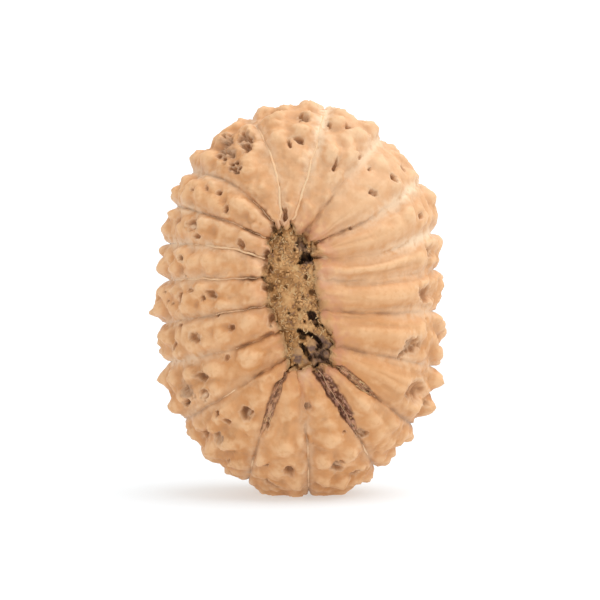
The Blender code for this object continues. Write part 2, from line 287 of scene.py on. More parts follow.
# Soft hollows, which hold shade but no dark bottom
HOLLOWS = (
    Pit(-6.7, 8.9, 0.80, 0.30, 90, 0.22), Pit(-4.9, 7.7, 0.48, 0.32, 95, 0.22),
    Pit(-3.9, 10.3, 0.90, 0.40, 90, 0.16), Pit(-7.8, 6.3, 0.80, 0.75, 90, 0.28),
    Pit(-10.8, 2.9, 0.60, 0.30, 90, 0.25), Pit(-11.0, 0.7, 0.80, 0.34, 95, 0.22),
    Pit(-9.4, -0.3, 0.60, 0.30, 60, 0.20), Pit(-6.4, 0.2, 0.40, 0.26, 120, 0.12),
    Pit(-6.7, -2.5, 0.90, 0.42, 5, 0.30), Pit(-10.9, -3.2, 0.80, 0.26, 90, 0.20),
    Pit(-5.8, -4.9, 0.70, 0.26, 75, 0.25), Pit(-6.3, -12.3, 0.55, 0.40, 30, 0.20),
    Pit(2.0, 11.1, 0.30, 0.26, 0, 0.12), Pit(2.8, 10.9, 0.32, 0.28, 0, 0.12),
    Pit(5.1, 13.6, 0.95, 0.24, 12, 0.25), Pit(3.5, 12.6, 0.90, 0.40, 75, 0.25),
    Pit(9.1, 8.1, 0.50, 0.20, 30, 0.15), Pit(8.3, 6.9, 0.80, 0.50, 20, 0.16),
    Pit(11.8, 0.6, 1.40, 0.95, 0, 0.65), Pit(10.7, -4.3, 1.50, 1.10, 20, 0.45),
    Pit(12.8, -3.9, 0.90, 0.35, 90, 0.25), Pit(10.7, -8.4, 1.50, 1.30, 30, 0.85),
    Pit(1.6, -17.0, 0.60, 0.35, 0, 0.25), Pit(7.6, -12.4, 0.90, 0.40, 60, 0.18),
)

# Rounded lumps between the pits: right, up and radius
LUMPS = (
    (-3.9, 15.3, 1.2), (-2.3, 15.8, 1.0), (0.0, 15.3, 0.9), (-5.5, 15.9, 0.9), (-6.2, 14.6, 0.8),
    (-8.5, 13.3, 1.2), (-4.6, 13.0, 1.0), (-3.9, 13.9, 0.9), (-7.8, 10.7, 1.1), (-10.1, 9.6, 1.0),
    (-9.0, 9.6, 0.8), (-7.9, 8.8, 0.9), (-5.9, 8.7, 1.2), (-4.4, 8.1, 1.0), (-11.5, 8.0, 0.9),
    (-10.2, 8.1, 0.9), (-8.7, 7.1, 0.9), (-6.6, 6.7, 1.2), (-4.4, 5.8, 1.1), (-12.2, 4.4, 0.8),
    (-11.7, 2.8, 0.8), (-9.8, 3.4, 0.9), (-8.0, 3.4, 1.1), (-4.1, 3.3, 1.1), (-12.7, 1.0, 0.7),
    (-13.0, -1.0, 0.9), (-10.4, 0.2, 0.7), (-8.8, 1.4, 0.8), (-8.6, -0.8, 0.9), (-6.9, -0.6, 0.9),
    (-4.6, 0.7, 1.3), (-12.5, -3.3, 0.8), (-10.2, -2.4, 0.8), (-8.7, -3.6, 0.8),
    (-8.4, -2.1, 0.7), (-4.7, -2.0, 1.3), (-7.1, -3.2, 0.9), (-10.9, -4.9, 0.9),
    (-12.5, -6.7, 0.9), (-11.2, -6.1, 0.9), (-7.6, -6.4, 1.1), (-7.5, -7.7, 0.9),
    (-4.6, -4.8, 1.5), (-7.0, -8.5, 0.9), (-8.8, -10.1, 1.0), (-11.7, -9.7, 0.8),
    (-6.8, -9.6, 1.1), (-4.7, -11.5, 1.1), (-8.0, -11.6, 0.8), (-6.8, -13.3, 1.0),
    (-8.3, -14.0, 0.9), (-5.6, -15.7, 0.9), (-4.4, -15.6, 0.8), (-3.5, -8.7, 1.3),
    (-1.3, -13.5, 1.2), (0.2, -12.7, 0.9), (-3.9, -14.4, 1.0), (0.2, -15.5, 0.9),
    (-1.2, -9.9, 1.3), (-2.6, -12.7, 0.9), (2.6, -12.1, 1.5), (2.1, -14.7, 1.1),
    (4.2, -14.0, 1.1), (1.7, -17.1, 0.9), (3.6, -16.7, 0.9), (1.6, -9.6, 1.3), (7.4, -12.4, 1.2),
    (7.3, -14.4, 1.0), (8.5, -11.2, 1.1), (5.9, -9.1, 1.2), (5.6, -15.5, 0.8), (10.0, -12.2, 0.9),
    (12.7, -7.0, 0.9), (12.0, -9.7, 0.8), (12.5, -1.6, 1.0), (12.7, -5.0, 0.8), (12.3, 5.4, 0.9),
    (3.5, 16.3, 1.0), (2.6, 13.4, 1.2), (4.8, 13.1, 0.9), (7.3, 12.6, 1.2), (10.1, 11.6, 0.9),
    (11.8, 7.6, 0.9), (6.7, 15.4, 0.9), (5.0, 15.3, 0.9), (11.9, 9.7, 0.8), (9.0, 10.3, 1.0),
    (9.8, 7.9, 0.9), (1.4, 17.4, 0.8), (-1.5, 16.9, 1.0),
)
LUMP_SLOPE = 0.42
LUMP_SPREAD = 1.15
PILLOW_SIZE = 2.3

# Crumbly patches, each a nest of tiny pits: right, up and radius
CRUMBLY_PATCHES = (
    (-6.7, 13.4, 0.75), (-6.8, 14.3, 0.60), (-5.9, 12.1, 0.50), (0.4, 16.6, 0.35),
    (0.75, -9.6, 0.20), (-4.9, 14.4, 0.60), (10.1, -4.3, 0.50), (3.4, -15.3, 0.40),
    (5.6, -12.1, 0.45), (-10.3, -8.3, 0.55), (-7.4, -12.6, 0.35),
)
CRUMBLY_SEED = 5
CRUMBLY_PITS = 7
CRUMBLY_SIZES = (0.20, 0.32)
CRUMBLY_NARROWNESS = 0.8
CRUMBLY_DEPTH = 0.40
CRUMBLY_STAIN = 0.75
CRUMBLY_EDGE = (0.7, 1.6)
CRUMBLY_RAGGED = 0.6

# Painted shade, in brown, in the valleys of some seams: the seam, how wide and how far from the
# pole
SEAM_VALLEY_SHADES = (
    (2, 0.90, 0.65), (3, 0.45, 0.50), (7, 0.35, 0.60), (9, 0.40, 0.95), (12, 0.50, 0.60),
    (13, 0.35, 0.50), (18, 0.45, 0.50),
)
VALLEY_SHADE_WAVER = 0.6
VALLEY_SHADE_FULL_UNTIL = 0.3

# Pale tips of ribs that reach into the pith: right, up and radius
PALE_TIPS = ((0.3, -6.6, 0.50), (-0.75, -5.95, 0.30), (1.9, -6.4, 0.25))

# Smaller pits strewn by a seeded draw between the knobs of the rim and the back
STREWN_SEED = 31
STREWN_STEP = math.radians(10.0)
STREWN_LIMIT = math.radians(30.0)
STREWN_GAPS = (0.7, 1.3)
STREWN_ROWS = (0.25, 0.5, 0.75)
STREWN_WANDER = 0.08
STREWN_SIZES = (0.18, 0.55)
STREWN_STRETCH = (1.0, 1.7)
STREWN_DEPTHS = (0.8, 1.3)
STREWN_NIBS = (0.0, 0.0, 0.7)

# How far a pit's edge reaches inwards, by its length, and where a nib stands in it
PIT_REACH = 2.0
NIB_OFFSET = np.array((-0.2, -0.25, 0.0))

# Lumps that stand in the pith's holes: right, up, radius, rise and whether they are ashy
PITH_LUMPS = (
    (0.8, -2.4, 0.55, 0.25, 0.0), (1.04, -3.76, 0.48, 0.25, 0.4), (-0.14, -4.6, 0.48, 0.3, 0.4),
    (2.5, -4.9, 0.45, 0.45, 1.0), (1.5, -4.8, 0.30, 0.4, 0.9), (0.15, 4.95, 0.34, 0.3, 0.9),
    (1.3, -5.5, 0.40, 0.4, 0.9), (1.3, -1.9, 0.22, 0.3, 0.8), (2.0, -5.8, 0.45, 0.3, 1.0),
    (0.5, -5.5, 0.35, 0.2, 0.6), (2.2, -4.2, 0.30, 0.3, 0.9), (-0.6, -5.2, 0.16, 0.3, 0.0),
    (-0.7, -5.8, 0.15, 0.3, 0.0),
)

# Where the cork is dark, greyish and crumbly: right, up and radius
PITH_ASH = (
    (2.4, -4.7, 1.25), (1.5, -5.1, 0.90), (1.0, -4.3, 0.50), (2.0, -5.9, 0.80), (0.7, 3.7, 0.70),
    (1.7, -3.6, 0.60), (1.2, -1.6, 0.55), (0.2, 5.0, 0.65), (-0.2, -5.2, 0.60),
)

# Dark places at the pith's edge and the pocked holes in it: right, up, radius and depth
PITH_HOLES = (
    (0.2, 5.07, 0.58, 0.6), (-0.5, 4.5, 0.16, 0.5), (0.42, 3.8, 0.55, 1.2),
    (0.75, 3.8, 0.52, 1.2), (1.1, 3.88, 0.24, 1.0), (0.05, 3.35, 0.22, 0.9),
    (-0.2, 3.2, 0.15, 0.6), (0.6, 2.1, 0.28, 0.4), (1.1, 0.7, 0.38, 0.35),
    (1.0, -1.25, 0.40, 0.7), (1.3, -1.7, 0.42, 0.8), (1.5, -2.15, 0.30, 0.7),
    (2.0, -2.3, 0.16, 0.5), (0.4, -1.9, 0.20, 0.4), (0.23, -3.3, 0.34, 0.7),
    (0.45, -4.5, 0.34, 0.9), (1.8, -4.1, 0.36, 0.8), (2.3, -4.8, 0.80, 0.4),
    (2.3, -5.5, 0.50, 0.45), (1.45, -5.0, 0.40, 0.7), (0.9, -5.2, 0.30, 0.6),
    (1.7, -5.9, 0.40, 0.6), (2.7, -5.6, 0.30, 0.6), (-0.35, -6.0, 0.24, 0.6),
    (-1.04, -5.5, 0.28, 0.6), (-0.9, -1.2, 0.18, 0.4), (-1.75, 5.9, 0.22, 0.6),
    (-2.5, 6.2, 0.42, 0.5), (-2.75, 4.3, 0.42, 0.45), (-2.75, 2.8, 0.40, 0.45),
    (-2.65, 1.2, 0.45, 0.40), (-2.5, -1.5, 0.45, 0.45), (-2.4, -2.2, 0.36, 0.40),
    (-1.3, 1.1, 0.18, 0.3), (-0.1, -0.8, 0.18, 0.4), (-2.2, 0.2, 0.30, 0.25),
    (-1.9, 3.6, 0.24, 0.25), (-1.1, 2.4, 0.22, 0.2), (0.2, 0.2, 0.24, 0.2),
)


class Crack(NamedTuple):
    """A dark crack in the pith: the places it runs through, half its width and its depth."""

    places: tuple
    half_width: float
    depth: float


PITH_CRACKS = (
    Crack(((-0.1, -2.7), (0.3, -2.95), (0.8, -3.0), (1.2, -3.25), (1.6, -3.6), (1.85, -4.0)),
          0.22, 0.9),
    Crack(((0.2, -4.1), (0.4, -4.45), (0.65, -4.85)), 0.28, 0.8),
    Crack(((1.1, 3.95), (1.5, 3.85), (2.0, 3.8)), 0.12, 0.7),
    Crack(((1.5, -4.4), (1.7, -5.0), (2.1, -5.4)), 0.14, 0.6),
)


class Spots(NamedTuple):
    """Places on the seed, whatever is raised there.

    place is a rib's number and the share across it; turn is 0 at the pith's edge and a
    quarter turn at the rim; step is 0 at the pole and 1 from the pith's edge outwards.
    """

    place: np.ndarray
    turn: np.ndarray
    step: np.ndarray
    front: np.ndarray

    @property
    def reach(self):
        """How far out on its face each spot lies: 0 at the pith's edge and 1 at the rim."""
        return np.sin(self.turn)

    @property
    def on_shell(self):
        """Which spots lie outside the pith."""
        return self.step >= 1.0


class Knob(NamedTuple):
    """A rounded bump: where it stands on the cushion, how high and how wide it is."""

    centre: np.ndarray
    height: float
    radius: float


class Dent(NamedTuple):
    """A pit in space: its middle, three axes scaled so that its edge is at 1, and its depth."""

    centre: np.ndarray
    axes: np.ndarray
    depth: float
    nib: float


def smooth_rise(low, high, values):
    """0 up to low, 1 from high on and a smooth rise between; or the other way round."""
    share = np.clip((values - low) / (high - low), 0.0, 1.0)
    return share * share * (3.0 - 2.0 * share)


def bell(away, width):
    """1 in the middle, falling off smoothly on both sides to 0.37 at this width."""
    return np.exp(-(away / width) ** 2)


def grain(points, size, octaves, offset=0.0):
    """Smooth unevenness, about -1 to 1, with features of the given size.

    The offset moves the pattern, so that two patterns of like size differ.
    """
    scaled = points / size + offset
    return np.array([noise.fractal(point, 1.0, 2.0, octaves) for point in scaled.tolist()])


def rib_widths():
    """How wide each rib is at the rim, from its own seam to the next one."""
    ends = np.array([(seam.rim_right, seam.rim_up) for seam in SEAMS])
    return np.linalg.norm(np.roll(ends, -1, axis=0) - ends, axis=-1)


def seam_columns():
    """The column of the sphere that each seam follows; the last one closes the round."""
    counts = 2 * np.round(rib_widths() / COLUMN_SPACING / 2.0).astype(int)
    return np.concatenate(([0], np.cumsum(counts)))


def rib_places(directions):
    """The place among the ribs that each direction from the sphere's middle points at."""
    columns = seam_columns()
    angle = np.arctan2(directions[:, 1], directions[:, 0])
    column = (QUARTER_TURN - angle) % FULL_TURN / FULL_TURN * columns[-1]
    return np.interp(column, columns, np.arange(RIBS + 1))


def spots_towards(directions):
    """Find the spots that lie in these directions from the middle of the plain sphere."""
    across = rib_places(directions)
    place = across - SEAM_CROWDING * np.sin(FULL_TURN * across) / FULL_TURN
    tilt = directions[:, 2] / np.linalg.norm(directions, axis=-1)
    ring = np.arccos(np.clip(tilt, -1.0, 1.0)) / math.pi * RINGS
    front = ring <= FLOOR_RINGS + FRONT_RINGS
    from_pole = np.where(front, ring, RINGS - ring)
    face_rings = np.where(front, FRONT_RINGS, BACK_RINGS)
    turn = QUARTER_TURN * np.clip((from_pole - FLOOR_RINGS) / face_rings, 0.0, 1.0)
    return Spots(place, turn, np.clip(from_pole / FLOOR_RINGS, 0.0, 1.0), front)


def spots_at(place, turn, front):
    """Spots given by their rib and turn, outside the pith."""
    place, turn = np.broadcast_arrays(np.atleast_1d(place).astype(float), turn)
    return Spots(place, turn, np.ones(place.shape), np.full(place.shape, front))


def between_seams(places, values):
    """Read values that are known at each seam for every place."""
    return np.interp(places, np.arange(RIBS + 1), np.append(values, values[0]))


def face_lines(spots):
    """The pith end, the rim end and the bow of the line that each spot lies on."""
    values = [between_seams(spots.place, column) for column in np.array(SEAMS).T]
    pith_right, pith_up, rim_right, rim_up, bow = values
    slant = np.arctan2(rim_up / HALF_HEIGHT, rim_right / HALF_WIDTH)
    back_right = BACK_PITH_CENTRE[0] + BACK_PITH_HALF_WIDTH * np.cos(slant)
    back_up = BACK_PITH_CENTRE[1] + BACK_PITH_HALF_HEIGHT * np.sin(slant)
    pith = np.stack((np.where(spots.front, pith_right, back_right),
                     np.where(spots.front, pith_up, back_up)), axis=-1)
    pith *= 1.0 - TIP_BULGE * across_rib(spots.place)[:, None]
    rim = np.stack((rim_right, rim_up), axis=-1)
    return pith, rim, np.where(spots.front, bow, BACK_BOW * bow)


def pith_plan(spots, pith):
    """Places in a pith hollow, gathered round a spine that leans a little."""
    lean = np.where(spots.front, PITH_LEAN, 0.0)
    spine = PITH_SPINE * pith[:, 1:] * np.stack((-lean, np.ones(lean.shape)), axis=-1)
    start = np.clip(spots.step / SPINE_START, 0.0, 1.0)
    return start[:, None] * spine + spots.step[:, None] * (pith - spine)


def face_plan(pith, rim, bow, reach):
    """Places on a face, seen straight on, along lines bowed between pith and rim."""
    run = rim - pith
    leftwards = np.stack((-run[:, 1], run[:, 0]), axis=-1)
    leftwards /= np.linalg.norm(run, axis=-1, keepdims=True)
    bulge = 4.0 * reach * (1.0 - reach) * bow
    return pith + reach[:, None] * run + bulge[:, None] * leftwards


def face_depth(pith, turn):
    """How far a face lies from the rim's plane, less at the pith's ends."""
    dip = POLE_DIP * (pith[:, 1] / HALF_HEIGHT) ** 2
    return HALF_THICKNESS * (1.0 - dip * np.cos(turn)) * np.cos(turn) ** SHOULDER


def cushion(spots):
    """The points of the plain cushion shape."""
    pith, rim, bow = face_lines(spots)
    in_pith = ~spots.on_shell
    plan = np.where(in_pith[:, None], pith_plan(spots, pith),
                    face_plan(pith, rim, bow, spots.reach))
    sunk = PITH_DEPTH * np.clip((1.0 - spots.step) / PITH_WALL, 0.0, 1.0)
    depth = face_depth(np.where(in_pith[:, None], plan, pith), spots.turn) - sunk
    return np.stack((plan[:, 0], np.where(spots.front, -depth, depth), plan[:, 1]), axis=-1)


def outward(points):
    """The normal of the plain ellipsoid through each point."""
    semi = np.array((HALF_WIDTH, HALF_THICKNESS, HALF_HEIGHT))
    slope = points / semi ** 2
    return slope / np.linalg.norm(slope, axis=-1, keepdims=True)


# How far the seams stray: slowly, finely, and more of the fine stray beside the pith
SLOW_STRAY = 0.16
SLOW_STRAY_SIZE = 2.4
FINE_STRAY = 0.05
FINE_STRAY_SIZE = 0.8
STRAY_AT_PITH = 0.32
STRAY_AT_PITH_REACH = 0.12


def wander(points, reach):
    """How far the seams and the pith's edge stray from their plain lines."""
    inner = 1.0 - reach ** 4
    fine = FINE_STRAY + STRAY_AT_PITH * bell(reach, STRAY_AT_PITH_REACH)
    stray = np.zeros(points.shape)
    for axis, offset in ((0, 5.0), (2, 9.0)):
        stray[:, axis] = SLOW_STRAY * inner * grain(points, SLOW_STRAY_SIZE, 2, offset)
        stray[:, axis] += fine * inner * grain(points, FINE_STRAY_SIZE, 2, offset)
    return stray


def stand_up(points):
    """Lean the poles as the seed stands, put it on the ground and flatten its foot."""
    placed = points.copy()
    placed[:, 2] -= points[:, 1] * math.tan(POLE_RISE)
    placed[:, 2] = np.maximum(placed[:, 2] + FOOT_BELOW_CENTRE, 0.0)
    return placed * MILLIMETRE


def across_rib(place):
    """The rib's rounded section: 0 at its two seams and 1 along its middle."""
    return 1.0 - np.abs(2.0 * (place % 1.0) - 1.0) ** RIB_FLATNESS


def width_at(spots):
    """How wide the rib is where each spot lies."""
    rib = np.floor(spots.place)
    one_side = cushion(spots._replace(place=rib))
    other_side = cushion(spots._replace(place=rib + 1.0))
    return np.linalg.norm(other_side - one_side, axis=-1)


def rib_swell(spots, width):
    """How far the ribs stand out: most along their middle and towards the rim."""
    along = SWELL_AT_PITH + (1.0 - SWELL_AT_PITH) * spots.reach
    along *= np.clip((spots.step - 1.0) / PITH_WALL + 1.0, 0.0, 1.0)
    return RIB_SWELL * along * np.sqrt(width / SWELL_WIDTH) * across_rib(spots.place)


def dome(points, knob):
    """A rounded bump of height 1 round a knob's middle, and 0 past its radius."""
    away = np.linalg.norm(points - knob.centre, axis=-1) / knob.radius
    return np.clip(1.0 - away ** 2, 0.0, None) ** 1.5


# The seeded draw of the ruled knobs, and how tall they may be for the given height
KNOB_SEED = 19
KNOB_SHARES = (0.5, 1.1)


def ruled_knobs(height):
    """The staggered rows of knobs on every rib, shifted a little by a seeded draw."""
    draw = random.Random(KNOB_SEED)
    knobs = []
    for rib, width in enumerate(rib_widths()):
        rows = KNOB_ROWS_OF_WIDE_RIB if width > WIDE_RIB else KNOB_ROWS
        for front, limit in ((True, FRONT_KNOB_LIMIT), (False, BACK_KNOB_LIMIT)):
            for number, row in enumerate(rows):
                turn = QUARTER_TURN - KNOB_STEP * (0.5 + 0.5 * (number % 2))
                while turn > limit:
                    across = rib + row + draw.uniform(-KNOB_WANDER, KNOB_WANDER)
                    rise = height * math.sin(turn) * draw.uniform(*KNOB_SHARES)
                    if not front or rib not in SMOOTH_FRONT_RIBS:
                        centre = cushion(spots_at(across, turn, front))[0]
                        knobs.append(Knob(centre, rise, KNOB_RADIUS))
                    turn -= KNOB_STEP
    return knobs


def knob_lift(knobs, points, place):
    """How far all knobs together raise the surface."""
    total = np.zeros(len(points))
    for knob in knobs:
        total += knob.height * dome(points, knob)
    return total * across_rib(place) ** KNOB_FADE_AT_SEAM


def away_in_view(points, right, up):
    """How far points are from a place, as it shows from straight ahead."""
    return np.hypot(points[:, 0] - right, points[:, 2] - up)


def nearest_in_front(points, front, right, up):
    """The front point that shows nearest to this place from straight ahead."""
    return np.argmin(np.where(front, away_in_view(points, right, up), np.inf))


def rim_knobs(points, normals, front, lift):
    """Knobs whose tips make the toothed outline that shows from the front."""
    knobs = []
    total = np.zeros(len(points))
    for right, up in RIM_TIPS:
        nearest = nearest_in_front(points, front, right, up)
        surface = points[nearest] + normals[nearest] * (lift[nearest] + total[nearest])
        height = float(np.dot(np.array((right, 0.0, up)) - surface, normals[nearest]))
        knob = Knob(points[nearest], max(height, 0.0), RIM_TIP_RADIUS)
        total += knob.height * dome(points, knob)
        knobs.append(knob)
    return knobs


class Body(NamedTuple):
    """The shell's points before pits: their spots, the cushion and the raised surface."""

    spots: Spots
    width: np.ndarray
    points: np.ndarray
    normals: np.ndarray
    lift: np.ndarray
    strayed: np.ndarray
    raised: np.ndarray


def raise_body(directions, knobs):
    """Raise ribs and knobs on the cushion."""
    spots = spots_towards(directions)
    width = width_at(spots)
    points = cushion(spots)
    normals = outward(points)
    lift = rib_swell(spots, width) + knob_lift(knobs, points, spots.place)
    strayed = points + wander(points, spots.reach)
    return Body(spots, width, points, normals, lift, strayed, strayed + normals * lift[:, None])


# The smooth ribs of the front: their first and last seams with a fade, and where they end
SMOOTH_STRETCH = (1.6, 2.6, 8.4, 9.2)
SMOOTHNESS = 0.85
SMOOTH_END = (0.72, 1.0)


def roughness(spots):
    """How knobbly the shell is: 1 on most ribs, down to 0.15 on the front's smooth ribs."""
    smooth = np.interp(spots.place, SMOOTH_STRETCH, (0.0, 1.0, 1.0, 0.0)) * spots.front
    return 1.0 - SMOOTHNESS * smooth * (1.0 - smooth_rise(*SMOOTH_END, spots.reach))


# How ragged the lumps' valleys are, and how far from a valley a lump is at its full height
PILLOW_STRAY = 0.3
PILLOW_SLOPE = 0.75


def pillows(points, wobble):
    """Rounded lumps set side by side: 0 in the valleys between them and 1 on top."""
    strayed = (points + PILLOW_STRAY * wobble[:, None]) / PILLOW_SIZE
    nearest = np.array([noise.voronoi(point)[0][:2] for point in strayed.tolist()])
    return smooth_rise(0.0, PILLOW_SLOPE, nearest[:, 1] - nearest[:, 0])


def nearest_seam(body):
    """The number of each point's nearest seam, and how far away that seam is."""
    share = body.spots.place % 1.0
    number = np.round(body.spots.place).astype(int) % RIBS
    return number, np.minimum(share, 1.0 - share) * body.width


VALLEY_DEPTH = 0.40
VALLEY_HALF_WIDTH = 0.75


def soft_valleys(body):
    """How much deeper the wide valleys between the smooth ribs are."""
    _, distance = nearest_seam(body)
    smooth = 1.0 - roughness(body.spots)
    return VALLEY_DEPTH * smooth * body.spots.reach ** 0.5 * bell(distance, VALLEY_HALF_WIDTH)


def front_point(body, right, up):
    """The raised point of the front that shows nearest to this place."""
    return body.raised[nearest_in_front(body.raised, body.spots.front, right, up)]


def lump_lift(body):
    """How far the rounded lumps of the front raise the surface."""
    total = np.zeros(len(body.points))
    for right, up, radius in LUMPS:
        knob = Knob(front_point(body, right, up), LUMP_SLOPE * radius, LUMP_SPREAD * radius)
        total = np.maximum(total, knob.height * dome(body.raised, knob))
    return total


def dent_in_view(body, pit):
    """Place a pit of the front list on the raised surface, as it shows from the front."""
    slant = math.radians(pit.slant)
    along = np.array((math.cos(slant), 0.0, math.sin(slant))) / pit.half_length
    across = np.array((-math.sin(slant), 0.0, math.cos(slant))) / pit.half_width
    through = np.array((0.0, 1.0, 0.0)) / (PIT_REACH * pit.half_length)
    axes = np.stack((along, across, through), axis=-1)
    return Dent(front_point(body, pit.right, pit.up), axes, pit.depth, pit.nib)


def strewn_dents(body):
    """Small pits between the knobs of the rim and of the back."""
    draw = random.Random(STREWN_SEED)
    dents = []
    for rib in range(RIBS):
        turn = QUARTER_TURN - STREWN_STEP * draw.uniform(0.2, 0.8)
        while turn > STREWN_LIMIT:
            shift = draw.choice(STREWN_ROWS) + draw.uniform(-STREWN_WANDER, STREWN_WANDER)
            size = draw.uniform(*STREWN_SIZES)
            target = cushion(spots_at(rib + shift, turn, False))[0]
            nearest = np.argmin(np.linalg.norm(body.points - target, axis=-1))
            normal = Vector(body.normals[nearest])
            along = normal.orthogonal().normalized()
            length_of_pit = size * draw.uniform(*STREWN_STRETCH)
            axes = np.array((along / length_of_pit, normal.cross(along) / size, normal / size)).T
            depth = size * draw.uniform(*STREWN_DEPTHS)
            dents.append(Dent(body.raised[nearest], axes, depth, draw.choice(STREWN_NIBS)))
            turn -= STREWN_STEP * draw.uniform(*STREWN_GAPS)
    return dents


def crumbly_dents(body):
    """Nests of tiny pits in the crumbly patches."""
    draw = random.Random(CRUMBLY_SEED)
    dents = []
    for right, up, radius in CRUMBLY_PATCHES:
        for _ in range(CRUMBLY_PITS):
            angle = draw.uniform(0.0, FULL_TURN)
            away = radius * math.sqrt(draw.uniform(0.0, 1.0))
            size = draw.uniform(*CRUMBLY_SIZES)
            pit = Pit(right + away * math.cos(angle), up + away * math.sin(angle), size,
                      CRUMBLY_NARROWNESS * size, draw.uniform(0.0, 180.0), CRUMBLY_DEPTH)
            dents.append(dent_in_view(body, pit))
    return dents


def crumbly_stain(body, wobble):
    """The brown stain over the crumbly patches."""
    darkening = np.zeros(len(body.points))
    for right, up, radius in CRUMBLY_PATCHES:
        away = away_in_view(body.raised, right, up) / radius + CRUMBLY_RAGGED * wobble
        darkening = np.maximum(darkening, 1.0 - smooth_rise(*CRUMBLY_EDGE, away))
    return CRUMBLY_STAIN * darkening * body.spots.front


def pale_tips(body):
    """How pale the ribs' tips are where they reach into the pith."""
    pale = [bell(away_in_view(body.raised, right, up), radius) for right, up, radius in PALE_TIPS]
    return np.max(pale, axis=0) * body.spots.front


def seam_valley_shade(body, wobble):
    """Painted shade, in brown, in the valleys of some seams."""
    seam, distance = nearest_seam(body)
    patchy = np.clip(1.0 + VALLEY_SHADE_WAVER * wobble, 0.0, 1.5)
    darkening = np.zeros(len(distance))
    for number, half_width, far_end in SEAM_VALLEY_SHADES:
        here = (seam == number) & body.spots.front
        faded = smooth_rise(far_end, VALLEY_SHADE_FULL_UNTIL * far_end, body.spots.reach) * patchy
        darkening = np.maximum(darkening, here * faded * bell(distance, half_width))
    return darkening


def dent_distance(points, dent):
    """How far each point is from a pit's middle, where the pit's edge is at 1."""
    return np.linalg.norm((points - dent.centre) @ dent.axes, axis=-1)


# The parts of a pit by the distance from its middle, where its plain edge is at 1
PIT_LIMIT = 2.2
PIT_RAGGED = 0.4
PIT_FINELY_RAGGED = 0.25
PIT_BOWL = (0.50, 1.08)
PIT_SHADE = (0.60, 1.15)
SHALLOW_SHADE = 0.3
SHADE_BY_DEPTH = 1.1
NIB_EDGE = (0.25, 0.75)
NIB_RISE = 0.7
LIP_PLACE = 1.15
LIP_WIDTH = 0.22
LIP_RISE = 0.12
LIP_LIMIT = 0.05
LIP_PALE = 0.4


class PitMarks(NamedTuple):
    """How deep the pits are at each point, and how dark and how pale they leave it."""

    depth: np.ndarray
    dark: np.ndarray
    pale: np.ndarray


def press_pits(points, wobble, fine, dents):
    """Press the pits, each with a ragged edge, a slight lip and sometimes a pale nib."""
    depth, dark, pale = (np.zeros(len(points)) for _ in range(3))
    for dent in dents:
        near = dent_distance(points, dent) < PIT_LIMIT
        offset = (points[near] - dent.centre) @ dent.axes
        ragged = 1.0 + PIT_RAGGED * wobble[near]
        away = np.linalg.norm(offset, axis=-1) * (ragged + PIT_FINELY_RAGGED * fine[near])
        bowl = 1.0 - smooth_rise(*PIT_BOWL, away)
        lip = bell(away - LIP_PLACE, LIP_WIDTH)
        nib_away = np.linalg.norm(offset - NIB_OFFSET, axis=-1) * ragged
        nib = dent.nib * (1.0 - smooth_rise(*NIB_EDGE, nib_away))
        depth[near] = np.maximum(depth[near], dent.depth * (bowl - NIB_RISE * nib))
        depth[near] -= LIP_RISE * dent.depth * lip * (depth[near] < LIP_LIMIT)
        darkest = min(1.0, SHALLOW_SHADE + SHADE_BY_DEPTH * dent.depth)
        shade = darkest * (1.0 - smooth_rise(*PIT_SHADE, away))
        dark[near] = np.maximum(dark[near], shade) * (1.0 - nib)
        pale[near] = np.maximum(pale[near], np.maximum(nib, LIP_PALE * lip))
    return PitMarks(depth, dark, pale)


# From where to where a hollow's floor rises, and the shallow dish round each pit
HOLLOW_BOWL = (0.2, 1.15)
BOWL_ROUND_PIT = (0.5, 2.3)
HOLLOW_ROUND_PIT = 0.40


def press_hollows(body, dents):
    """How deep the soft hollows are at each point, both the listed ones and those round pits."""
    hollows = [(dent_in_view(body, hollow), hollow.depth, HOLLOW_BOWL) for hollow in HOLLOWS]
    hollows += [(dent, HOLLOW_ROUND_PIT * dent.depth, BOWL_ROUND_PIT) for dent in dents]
    depth = np.zeros(len(body.points))
    for dent, deepest, bowl in hollows:
        inside = 1.0 - smooth_rise(*bowl, dent_distance(body.raised, dent))
        depth = np.maximum(depth, deepest * inside)
    return depth


class SeamMarks(NamedTuple):
    """What the seams do at each point of the shell."""

    crease: np.ndarray
    film: np.ndarray
    gap: np.ndarray
    gap_depth: np.ndarray
    gap_edge: np.ndarray
    gap_tan: np.ndarray
    strand: np.ndarray


def strength_along(body, seam, kind):
    """How strong the seams' creases or film are beside each point, by the seams' looks."""
    strength = np.interp(body.spots.reach, LOOK_REACHES, getattr(BACK_LOOK, kind))
    for number, look in enumerate(SEAM_LOOKS):
        here = (seam == number) & body.spots.front
        strength[here] = np.interp(body.spots.reach[here], LOOK_REACHES, getattr(look, kind))
    return strength * body.spots.on_shell


# How a parted seam looks across, where its plain edge is at 1, and how it narrows outwards
SEAM_RAGGED = 0.5
GAP_RAGGED = 0.18
GAP_TAPER = 3.0
GAP_TAPER_POWER = 0.6
GAP_WIDTH_AT_PITH = 0.25
GAP_WALL = (0.7, 1.05)
GAP_LEAN = (0.5, -0.8)
GAP_FILL = 0.6
GAP_FILL_EDGE = (0.3, 0.8)
GAP_LINE_PLACE = 0.8
GAP_LINE_WIDTH = 0.2
GAP_LINE_START = (0.0, 0.15)
STRAND_DEPTH = 0.14
STRANDS_ACROSS = 5.0
STRANDS_ALONG = 14.0
EDGE_SHOWN = 0.8
EDGE_PATCHY = 1.2


